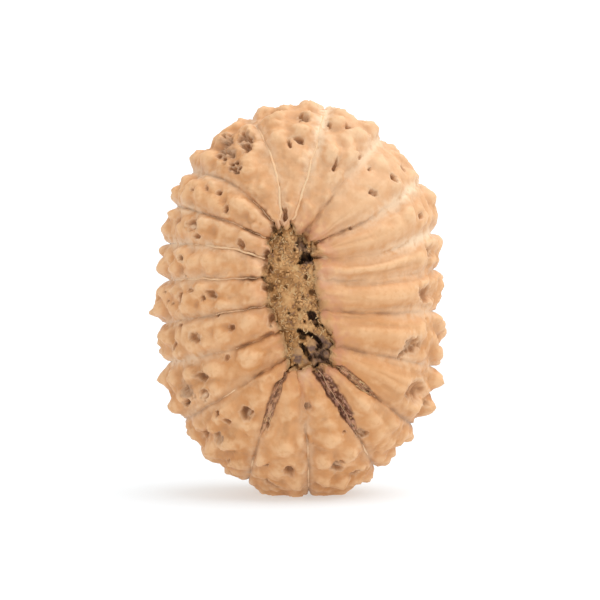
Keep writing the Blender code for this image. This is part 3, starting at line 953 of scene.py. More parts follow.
def seam_marks(body, wobble):
    """Dark creases, pale film and open gaps, by the distance from the nearest seam."""
    seam, distance = nearest_seam(body)
    reach = body.spots.reach
    ragged = 1.0 + SEAM_RAGGED * wobble
    crease = strength_along(body, seam, "crease") * bell(distance, CREASE_HALF_WIDTH * ragged)
    film = strength_along(body, seam, "film") * bell(distance, FILM_HALF_WIDTH * ragged)
    gap, depth, edge, tan = (np.zeros(len(reach)) for _ in range(4))
    stretched = (distance * STRANDS_ACROSS, reach * STRANDS_ALONG, body.spots.place)
    strand = grain(np.stack(stretched, axis=-1), 1.0, 2)
    on_front = body.spots.front & body.spots.on_shell
    for part in GAPS:
        here = (seam == part.seam) & on_front & (reach < part.far_end)
        taper = np.clip(GAP_TAPER * (1.0 - reach / part.far_end), 0.0, 1.0)
        opened = smooth_rise(0.0, part.widest, reach)
        half_width = part.half_width * taper ** GAP_TAPER_POWER * (1.0 + GAP_RAGGED * wobble)
        half_width *= GAP_WIDTH_AT_PITH + (1.0 - GAP_WIDTH_AT_PITH) * opened
        across = distance / np.maximum(half_width, 0.01)
        inside = (1.0 - smooth_rise(*GAP_WALL, across)) * here
        leftwards = np.where(body.spots.place % 1.0 < 0.5, across, -across)
        shallow = part.lean * smooth_rise(*GAP_LEAN, leftwards)
        filled = GAP_FILL * part.tan * (1.0 - smooth_rise(*GAP_FILL_EDGE, across))
        line = bell(across - GAP_LINE_PLACE, GAP_LINE_WIDTH) * (1.0 - GAP_FILL * part.tan)
        line *= np.where(leftwards > 0.0, 1.0, 1.0 - part.lean)
        line *= smooth_rise(*GAP_LINE_START, reach)
        gap = np.maximum(gap, inside)
        depth = np.maximum(depth, part.depth * inside * taper * (1.0 - shallow) * (1.0 - filled))
        depth += STRAND_DEPTH * inside * strand
        line *= np.clip(EDGE_SHOWN + EDGE_PATCHY * wobble, 0.0, 1.0)
        edge = np.maximum(edge, line * here)
        tan = np.maximum(tan, part.tan * inside)
    return SeamMarks(crease, film, gap, depth, edge, tan, strand)


def mark(mesh, name, values):
    """Store a value for each point, for the material to read."""
    layer = mesh.attributes.new(name, "FLOAT", "POINT")
    layer.data.foreach_set("value", np.asarray(values, dtype=np.float32))


def directions_of(mesh):
    """Where the points of the plain sphere are, seen from its middle."""
    places = np.empty(len(mesh.vertices) * 3)
    mesh.vertices.foreach_get("co", places)
    return places.reshape(-1, 3)


def move_points(mesh, points):
    """Put every point of the mesh in its place."""
    mesh.vertices.foreach_set("co", points.ravel())
    mesh.update()


def new_sphere(name, segments, rings):
    """Add a plain sphere to shape; its first pole will face the front."""
    bpy.ops.object.select_all(action="DESELECT")
    bpy.ops.mesh.primitive_uv_sphere_add(segments=segments, ring_count=rings, radius=1.0)
    sphere = bpy.context.object
    sphere.name = name
    sphere.data.name = name
    return sphere


def divide_faces(thing, wanted):
    """Divide the wanted faces once more, in edit mode."""
    bpy.ops.object.mode_set(mode="EDIT")
    bpy.ops.mesh.select_mode(type="FACE")
    bpy.ops.mesh.select_all(action="DESELECT")
    bpy.ops.object.mode_set(mode="OBJECT")
    thing.data.polygons.foreach_set("select", wanted)
    bpy.ops.object.mode_set(mode="EDIT")
    bpy.ops.mesh.subdivide(number_cuts=1, smoothness=0.0)
    bpy.ops.object.mode_set(mode="OBJECT")


def faces_with(mesh, chosen):
    """Which faces have a chosen point."""
    wanted = [any(chosen[corner] for corner in face.vertices) for face in mesh.polygons]
    return np.array(wanted, dtype=bool)


def select_only(things):
    """Select these objects and nothing else; the first one becomes the active object."""
    bpy.ops.object.select_all(action="DESELECT")
    for thing in things:
        thing.select_set(True)
    bpy.context.view_layer.objects.active = things[0]


def finish_piece(piece, material, replaced=()):
    """Shade a finished piece, give it its material and let it ride with the seed."""
    select_only([piece])
    bpy.ops.object.shade_smooth()
    piece.data.materials.clear()
    piece.data.materials.append(material)
    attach(piece, "root")
    for node in replaced:
        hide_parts(node)
    return piece


class Recipe:
    """A material's nodes, added one by one, and the colour that they give so far.

    Sizes and heights are in metres.
    """

    def __init__(self, name, roughness, specular, colour):
        self.material = bpy.data.materials.new(name)
        self.material.use_nodes = True
        self.nodes = self.material.node_tree.nodes
        self.links = self.material.node_tree.links
        self.shader = self.nodes["Principled BSDF"]
        self.shader.inputs["Roughness"].default_value = roughness
        self.shader.inputs["Specular IOR Level"].default_value = specular
        self.place = self.nodes.new("ShaderNodeTexCoord").outputs["Object"]
        self.colour = colour

    def feed(self, socket, source):
        """Set a socket to a number or colour, or link it to another node's output."""
        if isinstance(source, bpy.types.NodeSocket):
            self.links.new(source, socket)
        else:
            socket.default_value = source

    def mark(self, name):
        """Read a value that is stored on the mesh."""
        node = self.nodes.new("ShaderNodeAttribute")
        node.attribute_name = name
        return node.outputs["Fac"]

    def noise(self, size, detail=3.0):
        """Soft noise with features of this size."""
        node = self.nodes.new("ShaderNodeTexNoise")
        self.links.new(self.place, node.inputs["Vector"])
        node.inputs["Scale"].default_value = 1.0 / size
        node.inputs["Detail"].default_value = detail
        return node.outputs["Fac"]

    def fit(self, value, low, high, top=1.0):
        """Turn the range from low to high into 0 to top."""
        node = self.nodes.new("ShaderNodeMapRange")
        self.feed(node.inputs["Value"], value)
        node.inputs["From Min"].default_value = low
        node.inputs["From Max"].default_value = high
        node.inputs["To Max"].default_value = top
        return node.outputs["Result"]

    def patches(self, size, low, high, top=1.0, detail=3.0):
        """Soft patches of this size: 0 where the noise is below low, and top above high."""
        return self.fit(self.noise(size, detail), low, high, top)

    def times(self, first, second):
        """Multiply two numbers."""
        node = self.nodes.new("ShaderNodeMath")
        node.operation = "MULTIPLY"
        self.feed(node.inputs[0], first)
        self.feed(node.inputs[1], second)
        return node.outputs["Value"]

    def over(self, share, under, colour):
        """Lay a colour over another by a share."""
        node = self.nodes.new("ShaderNodeMix")
        node.data_type = "RGBA"
        self.feed(node.inputs[0], share)
        self.feed(node.inputs[6], under)
        self.feed(node.inputs[7], colour)
        return node.outputs[2]

    def lay(self, share, colour):
        """Lay a colour over the one so far by a share."""
        self.colour = self.over(share, self.colour, colour)

    def bump(self, size, detail, height, strength):
        """Roughen the surface by noise of this size and height."""
        node = self.nodes.new("ShaderNodeBump")
        node.inputs["Strength"].default_value = strength
        node.inputs["Distance"].default_value = height
        self.links.new(self.noise(size, detail), node.inputs["Height"])
        self.links.new(node.outputs["Normal"], self.shader.inputs["Normal"])

    def paint(self):
        """Use the colour so far and hand over the material."""
        self.links.new(self.colour, self.shader.inputs["Base Color"])
        return self.material


def gap_filling(recipe, colours):
    """Crumbly purple-brown, or tan fibres with brown patches, in a parted seam."""
    filling = recipe.over(recipe.mark("gap_tan"), colours.gap_red, colours.gap_tan)
    red_places = recipe.fit(recipe.mark("gap_tan"), 1.5, 0.0)
    patches = recipe.times(recipe.patches(0.00045, 0.46, 0.54, 0.95, 5.0), red_places)
    filling = recipe.over(patches, filling, colours.gap)
    crumbs = recipe.patches(0.0004, 0.56, 0.64, 0.7, 4.0)
    return recipe.over(crumbs, filling, colours.gap_tan)


def shell_material(colours):
    """Dry, slightly waxy orange-tan stone wood with pale film and brown pits; it also paints a
    highlight on raised places, shade in hollows, creases and some seam valleys, and light at the
    top right.
    """
    recipe = Recipe("shell_wood", 0.52, 0.35, colours.shell)
    recipe.lay(recipe.patches(0.0035, 0.35, 0.65), colours.deep)
    recipe.lay(recipe.mark("inner"), colours.deep)
    # Brown streaks along the ribs, and painted shade in the valleys of some seams
    recipe.lay(recipe.fit(recipe.mark("streak_and_valley_shade"), 0.0, 1.4, 0.84), colours.streak_and_valley_shade)
    # Painted light and shade by the relief: raised places laid paler as if lit, hollows laid
    # browner as if shaded
    recipe.lay(recipe.fit(recipe.mark("relief_light_and_shade"), 0.52, 0.95, 0.75), colours.crest_tone_and_highlight)
    recipe.lay(recipe.fit(recipe.mark("relief_light_and_shade"), 0.46, 0.0, 0.60), colours.valley_shade)
    recipe.lay(recipe.patches(0.0011, 0.50, 0.70, 0.45, 4.0), colours.crest_tone_and_highlight)
    recipe.lay(recipe.patches(0.0005, 0.50, 0.72, 0.55, 4.0), colours.deep)
    # Painted light at the top right, in the film colour
    recipe.lay(recipe.mark("painted_top_right_light"), colours.film)
    recipe.lay(recipe.mark("blush"), colours.blush)
    torn = recipe.patches(0.0008, 0.30, 0.52)
    recipe.lay(recipe.times(recipe.mark("film"), torn), colours.film)
    # Creases: partly their own brown, partly painted shade where the ribs overhang them
    broken = recipe.patches(0.0018, 0.36, 0.56)
    recipe.lay(recipe.times(recipe.mark("crease"), broken), colours.crease)
    bottoms = recipe.over(recipe.patches(0.0005, 0.35, 0.55), colours.valley_shade, colours.pit)
    recipe.lay(recipe.mark("pit"), bottoms)
    recipe.lay(recipe.mark("pale"), colours.film)
    recipe.lay(recipe.mark("gap"), gap_filling(recipe, colours))
    recipe.lay(recipe.mark("gap_edge"), colours.gap)
    recipe.lay(recipe.mark("cork"), cork_colour(recipe, colours))
    recipe.bump(0.00035, 5.0, 0.00008, 0.7)
    return recipe.paint()


def thread_material(colours):
    """The pale, waxy thread along a seam."""
    recipe = Recipe("seam_thread", 0.45, 0.5, colours.thread)
    recipe.lay(recipe.patches(0.0009, 0.42, 0.66), colours.crest_tone_and_highlight)
    recipe.bump(0.00025, 3.0, 0.00004, 0.5)
    return recipe.paint()


def cork_colour(recipe, colours):
    """Olive-tan with dark pores and pale flecks."""
    clouds = recipe.patches(0.0016, 0.38, 0.62)
    colour = recipe.over(clouds, colours.pith, colours.pith_deep)
    pores = recipe.patches(0.00050, 0.55, 0.70, 0.6, 5.0)
    colour = recipe.over(pores, colour, colours.pith_pore)
    flecks = recipe.patches(0.00060, 0.57, 0.68, 0.6, 2.0)
    return recipe.over(flecks, colour, colours.fibre)


def pith_material(colours):
    """Crumbly olive-tan cork with dark pores, ashy places and holes."""
    recipe = Recipe("pith_cork", 0.85, 0.15, colours.pith)
    recipe.colour = cork_colour(recipe, colours)
    mottle = recipe.patches(0.0005, 0.50, 0.66, 0.6, 4.0)
    recipe.lay(recipe.mark("ash"), recipe.over(mottle, colours.ash, recipe.colour))
    shades = recipe.patches(0.0004, 0.45, 0.65, 0.5, 4.0)
    recipe.lay(recipe.mark("hole"), recipe.over(shades, colours.hole, colours.pith_pore))
    recipe.bump(0.0002, 5.0, 0.00010, 0.8)
    return recipe.paint()


def fibre_material(colours):
    """Dry fibres, pale or brown by where they lie."""
    recipe = Recipe("seam_fibre", 0.7, 0.5, colours.fibre)
    recipe.lay(recipe.patches(0.0008, 0.42, 0.60), colours.pit)
    recipe.bump(0.0002, 3.0, 0.00003, 0.5)
    return recipe.paint()


GLOW_COLOUR = (1.0, 1.0, 0.98, 1.0)
PALE_GREY = (0.8, 0.8, 0.8, 1.0)


def floor_material(colours, glow):
    """A plain pale matt floor with a faint glow, like a light table's."""
    recipe = Recipe("floor", 0.9, 0.1, colours.floor)
    recipe.shader.inputs["Emission Color"].default_value = GLOW_COLOUR
    recipe.shader.inputs["Emission Strength"].default_value = glow
    recipe.lay(recipe.patches(0.2, 0.4, 0.6, 0.05), PALE_GREY)
    return recipe.paint()


def length(name, description, default):
    """A slider for a length of the seed."""
    return FloatProperty(name=name, description=description, default=default, min=0.0,
                         precision=6, unit="LENGTH")


def hue(name, description, default):
    """A colour field."""
    return FloatVectorProperty(name=name, description=description, default=default + (1.0,),
                               size=4, min=0.0, max=1.0, subtype="COLOR")


class SeedShape(PropertyGroup):
    """Sizes that a user would change."""

    knob_height: length("Knob height", "Height of the tallest ruled knobs", 0.00085)
    lump_height: length("Unevenness", "How uneven the ribs are", 0.00022)
    pillow_height: length("Lump height", "How high the rounded lumps of the ribs are", 0.00036)
    wrinkle_height: length("Wrinkle height", "Fine wrinkles of the skin", 0.00005)
    pit_depth: FloatProperty(name="Pit depth", description="Scales the depth of all pits",
                             default=1.0, min=0.0, max=2.0, subtype="FACTOR")
    thread_radius: length("Thread radius", "Half the width of a seam's thread", 0.00010)
    pith_recess: length("Pith recess", "How far the pith lies below the ribs' ends", 0.00014)
    grain_size: length("Pith grain", "Size of the grains of cork", 0.00034)
    crumb_size: length("Crumb size", "Radius of the largest loose crumbs", 0.00016)
    crumb_count: IntProperty(name="Crumbs", description="Loose crumbs on the front pith",
                             default=420, min=0, max=1000)
    fibre_radius: length("Fibre radius", "Half the width of a fibre", 0.000045)
    pith_fibres: IntProperty(name="Fibres", description="Short fibres on the front pith",
                             default=170, min=0, max=1000)


class SeedColours(PropertyGroup):
    """Colours of the seed and the floor."""

    shell: hue("Shell", "The ribs' orange-tan", (0.70, 0.354, 0.153))
    deep: hue("Deep orange", "Streaks and specks of the ribs", (0.61, 0.277, 0.098))
    # The streak colour also paints shade in the valleys of some seams
    streak_and_valley_shade: hue("Streak", "Brown streaks along the smooth ribs", (0.53, 0.260, 0.105))
    # Crest is also the painted highlight on raised places, and valley the painted shade in
    # hollows and pit bottoms
    crest_tone_and_highlight: hue("Crest", "Tops of ribs and knobs", (0.82, 0.500, 0.265))
    valley_shade: hue("Valley", "Brownish hollows between the knobs", (0.48, 0.240, 0.110))
    # The film colour is also laid as painted light at the top right
    film: hue("Film", "Dry whitish film along the seams", (0.86, 0.650, 0.445))
    thread: hue("Thread", "The raised line of a seam", (0.79, 0.540, 0.320))
    # The crease colour is partly painted shade in the creases
    crease: hue("Crease", "Dark lines beside a seam", (0.25, 0.110, 0.050))
    pit: hue("Pit", "Bottoms of pits", (0.32, 0.155, 0.075))
    gap: hue("Gap", "Edges and dark places of a parted seam", (0.15, 0.058, 0.028))
    gap_red: hue("Gap filling", "Purple-brown filling of a parted seam", (0.60, 0.310, 0.200))
    gap_tan: hue("Gap fibres", "Tan fibres that fill a parted seam", (0.70, 0.400, 0.200))
    ash: hue("Ash", "Greyish lumps in the pith's holes", (0.22, 0.130, 0.095))
    blush: hue("Blush", "Reddish skin beside the pith", (0.60, 0.270, 0.150))
    pith: hue("Pith", "Olive-tan cork", (0.66, 0.375, 0.165))
    pith_deep: hue("Pith shade", "Darker cork", (0.50, 0.260, 0.100))
    pith_pore: hue("Pith pore", "Pores between the grains", (0.25, 0.125, 0.050))
    hole: hue("Hole", "Holes beside the pith", (0.035, 0.017, 0.011))
    fibre: hue("Fibre", "Pale fibres", (0.70, 0.470, 0.230))
    floor: hue("Floor", "The ground", (0.49, 0.53, 0.57))


class StageSettings(PropertyGroup):
    """Camera and light."""

    elevation: FloatProperty(name="Elevation", description="How far above the seed the camera is",
                             default=POLE_RISE, subtype="ANGLE")
    distance: length("Distance", "From the camera to the seed's centre", 0.6)
    view_width: length("View width", "How much the picture spans at the seed", 0.0544)
    key_strength: FloatProperty(name="Key light", description="Strength of the soft light",
                                default=1.9, min=0.0)
    key_softness: FloatProperty(name="Softness", description="How wide the soft light looks",
                                default=math.radians(75.0), subtype="ANGLE")
    daylight: FloatProperty(name="Daylight", description="Strength of the light all round",
                            default=0.84, min=0.0)
    floor_glow: FloatProperty(name="Floor glow", description="Light that the floor gives off",
                              default=0.46, min=0.0)


def stand_out(mesh, height, passes):
    """How far each point stands above the points round it; more passes look further."""
    ends = np.empty(len(mesh.edges) * 2, dtype=np.int32)
    mesh.edges.foreach_get("vertices", ends)
    first, second = ends[0::2], ends[1::2]
    neighbours = np.bincount(ends, minlength=len(height))
    smooth = height
    for _ in range(passes):
        total = np.bincount(first, smooth[second], len(height))
        total += np.bincount(second, smooth[first], len(height))
        smooth = 0.5 * smooth + 0.5 * total / neighbours
    return height - smooth


# Only a few points in a hundred stand out further than the height where the painted crest
# highlight is full
RELIEF_TOP = 95.0


def relief_of(values):
    """Scale values to 0 where they are lowest, 1 where they are highest and 0.5 at zero."""
    highest = np.percentile(np.abs(values), RELIEF_TOP)
    return np.clip(0.5 + 0.5 * values / highest, 0.0, 1.0)


STREAKS_ACROSS = 5.0
STREAKS_ALONG = 1.8
STREAKS_FRONT_OFFSET = 7.0
STREAK_EDGE = (-0.1, 0.7)


def rib_streaks(spots):
    """Streaks that run along the ribs."""
    stretched = (spots.place * STREAKS_ACROSS, spots.reach * STREAKS_ALONG,
                 spots.front * STREAKS_FRONT_OFFSET)
    return smooth_rise(*STREAK_EDGE, grain(np.stack(stretched, axis=-1), 1.0, 2))


BLUSH = 0.9
BLUSH_REACH = 0.16
BLUSH_RAGGED = 0.08
BLUSH_ON_LEFT = 0.35
BLUSH_ON_BACK = 0.3
BLUSH_SHOWN = 0.7
BLUSH_PATCHY = 1.4


def blush_near_pith(body, wobble):
    """Reddish skin where the ribs meet the pith, most on the right."""
    near = bell(body.spots.reach, BLUSH_REACH + BLUSH_RAGGED * wobble) * body.spots.on_shell
    side = np.where(body.points[:, 0] > 0.0, 1.0, BLUSH_ON_LEFT) * body.spots.front
    patchy = np.clip(BLUSH_SHOWN + BLUSH_PATCHY * wobble, 0.0, 1.0)
    return BLUSH * near * np.maximum(side, BLUSH_ON_BACK) * patchy


RIM_ROUGHER = 0.35
RIM_ROUGHER_FROM = (0.75, 0.97)


def rim_share(spots):
    """How much rougher the shell is towards the rim: 1 over most of a face, 1.35 at the rim."""
    return 1.0 + RIM_ROUGHER * smooth_rise(*RIM_ROUGHER_FROM, spots.reach)


def top_right_painted_light(points, wobble):
    """Painted light: the front laid paler towards its top right, as if more light fell there."""
    pale = bell(away_in_view(points, *TOP_RIGHT_LIGHT_CENTRE), TOP_RIGHT_LIGHT_RADIUS)
    return TOP_RIGHT_LIGHT * pale * (1.0 + TOP_RIGHT_LIGHT_PATCHY * wobble)


def away_from_seams(spots):
    """Fades fine unevenness out along the seams, where the threads lie."""
    return np.clip(2.0 * across_rib(spots.place), 0.0, 1.0) * spots.on_shell


# How far the ribs' ends drop at the pith's edge, and over which reach
ROUNDED_END_DROP = 0.25
ROUNDED_END_REACH = 0.03


def rounded_ends(body):
    """How much lower the ribs' rounded ends are beside the pith."""
    return ROUNDED_END_DROP * bell(body.spots.reach, ROUNDED_END_REACH) * body.spots.on_shell


# How far cork creeps onto the ribs' ends right and left, and how it fades
CORK_CREEP_RIGHT = 0.07
CORK_CREEP_LEFT = 0.05
CORK_CREEP_EDGE = (0.2, 1.0)
CORK_CREEP_SHARE = 0.8
CORK_RAGGED = 0.6


def cork_edge(body, wobble):
    """The pith's wall, and the patches of cork that creep onto the ribs' ends."""
    furthest = np.where(body.points[:, 0] > 0.0, CORK_CREEP_RIGHT, CORK_CREEP_LEFT)
    away = body.spots.reach / furthest + CORK_RAGGED * wobble
    patches = (1.0 - smooth_rise(*CORK_CREEP_EDGE, away)) * body.spots.front
    return np.where(body.spots.on_shell, CORK_CREEP_SHARE * patches, 1.0)


def soften_smooth_ribs(body):
    """How much lower the shoulders of the smooth ribs are, so that their valleys are wide."""
    middle = np.sin(math.pi * (body.spots.place % 1.0)) ** 2
    return (1.0 - roughness(body.spots)) * RIB_SWELL * (middle - across_rib(body.spots.place))


def find_knobs(directions, height):
    """All knobs: the ruled rows, and those that make the toothed outline."""
    knobs = ruled_knobs(height)
    body = raise_body(directions, knobs)
    return knobs + rim_knobs(body.points, body.normals, body.spots.front, body.lift)


def find_dents(body):
    """All pits: the listed ones, the crumbly nests and those strewn on the rim and back."""
    listed = [dent_in_view(body, pit) for pit in PITS]
    return listed + crumbly_dents(body) + strewn_dents(body)


# The faces that are divided: how near to a pit, and how deep a crease has to be
FINE_ROUND_PIT = 1.2
FINE_FROM_CREASE = 0.6


def divide_detail(shell, body, dents):
    """Divide the faces at pits, gaps and the front's dark creases once more."""
    near = np.zeros(len(body.points), dtype=bool)
    for dent in dents:
        near |= dent_distance(body.raised, dent) < FINE_ROUND_PIT
    marks = seam_marks(body, np.zeros(len(body.points)))
    near |= (marks.gap > 0.0) | (marks.crease * body.spots.front > FINE_FROM_CREASE)
    divide_faces(shell, faces_with(shell.data, near))


# Unevenness of the ribs
LUMP_SIZE = 1.6
LUMP_OFFSET = 40.0
PILLOW_LEVEL = 0.6
STREAK_DEPTH = 0.15


def rib_lumps(body, wobble, streaks, shape):
    """How far lumps raise the ribs, and how far valleys, rounded ends and streaks lower them."""
    rough = roughness(body.spots)
    uneven = shape.lump_height * grain(body.raised, LUMP_SIZE, 3, LUMP_OFFSET)
    uneven += shape.pillow_height * (pillows(body.raised, wobble) - PILLOW_LEVEL)
    lumps = lump_lift(body) + soften_smooth_ribs(body)
    lumps += uneven / MILLIMETRE * rough * rim_share(body.spots)
    lumps *= away_from_seams(body.spots)
    lumps -= soft_valleys(body) + rounded_ends(body)
    return lumps - STREAK_DEPTH * streaks * (1.0 - rough)


# How far round each point the relief for the painted crest highlight and hollow shade looks, and
# how strong the marks are
WIDE_RELIEF_PASSES = 60
NARROW_RELIEF_PASSES = 10
NARROW_RELIEF_SHARE = 1.5
VALLEY_SHADE_SHARE = 1.4
NIB_PALENESS = 0.8
TIP_PALENESS = 0.35
INNER_SHADE = 0.55
INNER_SHADE_REACH = (0.75, 0.15)
STRAND_TAN = 0.8
STRAND_TAN_PATCHY = 0.6


def store_marks(mesh, body, wobble, whole, streaks, pits, seams):
    """Store what the shell's material reads; whole is how far each point was raised."""
    crest_light_and_hollow_shade = stand_out(mesh, whole, WIDE_RELIEF_PASSES)
    crest_light_and_hollow_shade += NARROW_RELIEF_SHARE * stand_out(mesh, whole, NARROW_RELIEF_PASSES)
    tan_strands = STRAND_TAN + STRAND_TAN_PATCHY * seams.strand
    marks = {
        "relief_light_and_shade": relief_of(crest_light_and_hollow_shade),
        "streak_and_valley_shade": np.maximum(streaks, VALLEY_SHADE_SHARE * seam_valley_shade(body, wobble)),
        "blush": blush_near_pith(body, wobble),
        "pit": np.maximum(pits.dark, crumbly_stain(body, wobble)),
        "pale": np.maximum(NIB_PALENESS * pits.pale, TIP_PALENESS * pale_tips(body)),
        "film": seams.film,
        "crease": seams.crease,
        "gap": seams.gap,
        "gap_edge": seams.gap_edge,
        "gap_tan": seams.gap_tan * np.clip(tan_strands, 0.0, 1.0),
        "inner": INNER_SHADE * smooth_rise(*INNER_SHADE_REACH, body.spots.reach),
        "painted_top_right_light": top_right_painted_light(body.points, wobble),
        "cork": cork_edge(body, wobble),
    }
    for name, values in marks.items():
        mark(mesh, name, values)


# Sizes of the ragged edges and of the skin's wrinkles, and how flat these are on smooth ribs
WOBBLE_SIZE = 0.5
WRINKLE_SIZE = 0.45
WRINKLE_OFFSET = 80.0
SMOOTH_WRINKLES = 0.4


class SEED_OT_shell(Operator):
    """Grow the ribbed, knobbed and pitted shell"""

    bl_idname = "seed.shell"
    bl_label = "Shell"

    def execute(self, context):
        shape = context.scene.seed_shape
        shell = new_sphere("seed_shell", int(seam_columns()[-1]), RINGS)
        knobs = find_knobs(directions_of(shell.data), shape.knob_height / MILLIMETRE)
        coarse = raise_body(directions_of(shell.data), knobs)
        dents = find_dents(coarse)
        divide_detail(shell, coarse, dents)

        body = raise_body(directions_of(shell.data), knobs)
        wobble = grain(body.raised, WOBBLE_SIZE, 2)
        wrinkles = grain(body.raised, WRINKLE_SIZE, 3, WRINKLE_OFFSET)
        seams = seam_marks(body, wobble)
        pits = press_pits(body.raised, wobble, wrinkles, dents)
        streaks = rib_streaks(body.spots)
        whole = body.lift + rib_lumps(body, wobble, streaks, shape) - press_hollows(body, dents)
        wrinkled = SMOOTH_WRINKLES + (1.0 - SMOOTH_WRINKLES) * roughness(body.spots)
        lift = whole + shape.wrinkle_height / MILLIMETRE * wrinkled * wrinkles
        lift -= shape.pit_depth * pits.depth + seams.gap_depth + CREASE_DEPTH * seams.crease
        move_points(shell.data, stand_up(body.strayed + body.normals * lift[:, None]))
        store_marks(shell.data, body, wobble, whole, streaks, pits, seams)
        finish_piece(shell, shell_material(context.scene.seed_colours), (SEED_NODE,))
        return {"FINISHED"}


PITH_SEGMENTS = 400
PITH_RINGS = 60
PITH_FACE_SHARE = 0.85
PITH_SPREAD = 1.12
PITH_SINKS_LEFT = 0.25
PITH_THICKNESS = 2.0
PITH_MIDDLE = np.array((-0.2, 0.0))


def pith_spots(directions, front):
    """Spots on the pith's face, and how far each has gone round its edge to the underside."""
    tilt = directions[:, 2] if front else -directions[:, 2]
    share = np.arccos(np.clip(tilt, -1.0, 1.0)) / math.pi
    place = rib_places(directions)
    on_face = np.clip(share / PITH_FACE_SHARE, 0.0, 1.0)
    under = np.clip((share - PITH_FACE_SHARE) / (1.0 - PITH_FACE_SHARE), 0.0, 1.0)
    step = PITH_SPREAD * on_face * (1.0 - under)
    spots = Spots(place, np.zeros(len(place)), step, np.full(len(place), front))
    return spots, under


def pith_face(spots):
    """Places on the pith, in rings of its outline, and how far it stands out there."""
    pith, _, _ = face_lines(spots)
    plan = spots.step[:, None] * (pith - PITH_MIDDLE) + PITH_MIDDLE
    flat = np.stack((plan[:, 0], np.zeros(len(plan)), plan[:, 1]), axis=-1)
    return flat, face_depth(plan, 0.0)


# The cork's low lumps, and its grains and clumps of grains, which dip between each other
CORK_LUMP_HEIGHT = 0.20
CORK_LUMP_SIZE = 1.3
CORK_LUMP_OFFSET = 11.0
GRAIN_DIP = 0.22
CLUMP_DIP = 0.25
GRAINS_IN_CLUMP = 2.2
CLUMP_OFFSET = 7.0


def cork_height(plan, grain_size):
    """The uneven face of the cork: lumps, and grains packed side by side."""
    lumps = CORK_LUMP_HEIGHT * grain(plan, CORK_LUMP_SIZE, 3, CORK_LUMP_OFFSET)
    fine = plan / grain_size
    grains = np.array([noise.voronoi(point)[0][0] for point in fine.tolist()])
    coarse = plan / grain_size / GRAINS_IN_CLUMP + CLUMP_OFFSET
    clumps = np.array([noise.voronoi(point)[0][0] for point in coarse.tolist()])
    return lumps - GRAIN_DIP * grains ** 1.5 - CLUMP_DIP * clumps ** 2


def line_distance(plan, places):
    """How far each point is, seen from the front, from a line through these places."""
    nearest = np.full(len(plan), np.inf)
    for start, end in zip(places, places[1:]):
        run = np.subtract(end, start)
        offset = plan[:, (0, 2)] - start
        share = np.clip(offset @ run / (run @ run), 0.0, 1.0)
        nearest = np.minimum(nearest, np.linalg.norm(offset - share[:, None] * run, axis=-1))
    return nearest


# A spot of the pith is measured as a crack is, as a very short line
SPOT_LENGTH = 0.001


def spot_distance(plan, right, up):
    """How far each point is, seen from the front, from a spot of the pith."""
    return line_distance(plan, ((right, up), (right + SPOT_LENGTH, up)))


# How ragged holes, cracks and lumps are, and their edges, where the plain edge is at 1
HOLE_RAGGED = 0.4
LUMP_RAGGED = 0.3
HOLE_EDGE = (0.60, 1.05)
ASH_EDGE = (0.6, 1.1)
LUMP_EDGE = (0.5, 1.0)
LUMP_CLEARS = 0.9
HOLE_WOBBLE_SIZE = 0.35
HOLE_WOBBLE_OFFSET = 23.0
SHALLOW_HOLE_SHADE = 0.15
HOLE_SHADE_BY_DEPTH = 0.9


def hole_marks(plan):
    """How deep the front pith's holes are, and how dark and ashy they leave the cork."""
    depth, dark, ash = (np.zeros(len(plan)) for _ in range(3))
    wobble = grain(plan, HOLE_WOBBLE_SIZE, 2, HOLE_WOBBLE_OFFSET)
    holes = [(spot_distance(plan, right, up) / radius, deepest,
              min(1.0, SHALLOW_HOLE_SHADE + HOLE_SHADE_BY_DEPTH * deepest))
             for right, up, radius, deepest in PITH_HOLES]
    holes += [(line_distance(plan, crack.places) / crack.half_width, crack.depth, 1.0)
              for crack in PITH_CRACKS]
    for away, deepest, darkest in holes:
        inside = 1.0 - smooth_rise(*HOLE_EDGE, away + HOLE_RAGGED * wobble)
        depth = np.maximum(depth, deepest * inside)
        dark = np.maximum(dark, darkest * inside)
    for right, up, radius in PITH_ASH:
        away = spot_distance(plan, right, up) / radius + HOLE_RAGGED * wobble
        ash = np.maximum(ash, 1.0 - smooth_rise(*ASH_EDGE, away))
    for right, up, radius, rise, ashy in PITH_LUMPS:
        away = spot_distance(plan, right, up) / radius + LUMP_RAGGED * wobble
        inside = 1.0 - smooth_rise(*LUMP_EDGE, away)
        depth -= rise * np.sqrt(np.clip(1.0 - away ** 2, 0.0, 1.0))
        dark *= 1.0 - LUMP_CLEARS * inside
        ash = np.maximum(ash * (1.0 - inside), ashy * inside)
    return depth, dark, ash


# From where to where, rightwards, the pith sinks to its left side
PITH_SINKS_FROM = (-0.8, -2.6)


def pith_sinking(right, recess):
    """How far the pith lies below the ribs' ends, more on its left side."""
    return recess + PITH_SINKS_LEFT * smooth_rise(*PITH_SINKS_FROM, right)


# The pith's edge: how ragged it is, its dark ring and how far it drops, less at its low end
EDGE_RAGGED = 0.08
EDGE_RAGGED_SIZE = 0.6
EDGE_RAGGED_OFFSET = 31.0
EDGE_RING_PLACE = 0.99
EDGE_RING_WIDTH = 0.05
EDGE_RING_SHADE = 0.45
EDGE_RING_PATCHES = (-0.2, 0.4)
EDGE_RING_PATCH_SIZE = 1.0
EDGE_RING_OFFSET = 51.0
EDGE_DROP_FROM = 0.96
EDGE_DROP = 1.2
LOW_END_DROP_LESS = 0.7
LOW_END = (-4.0, -5.6)


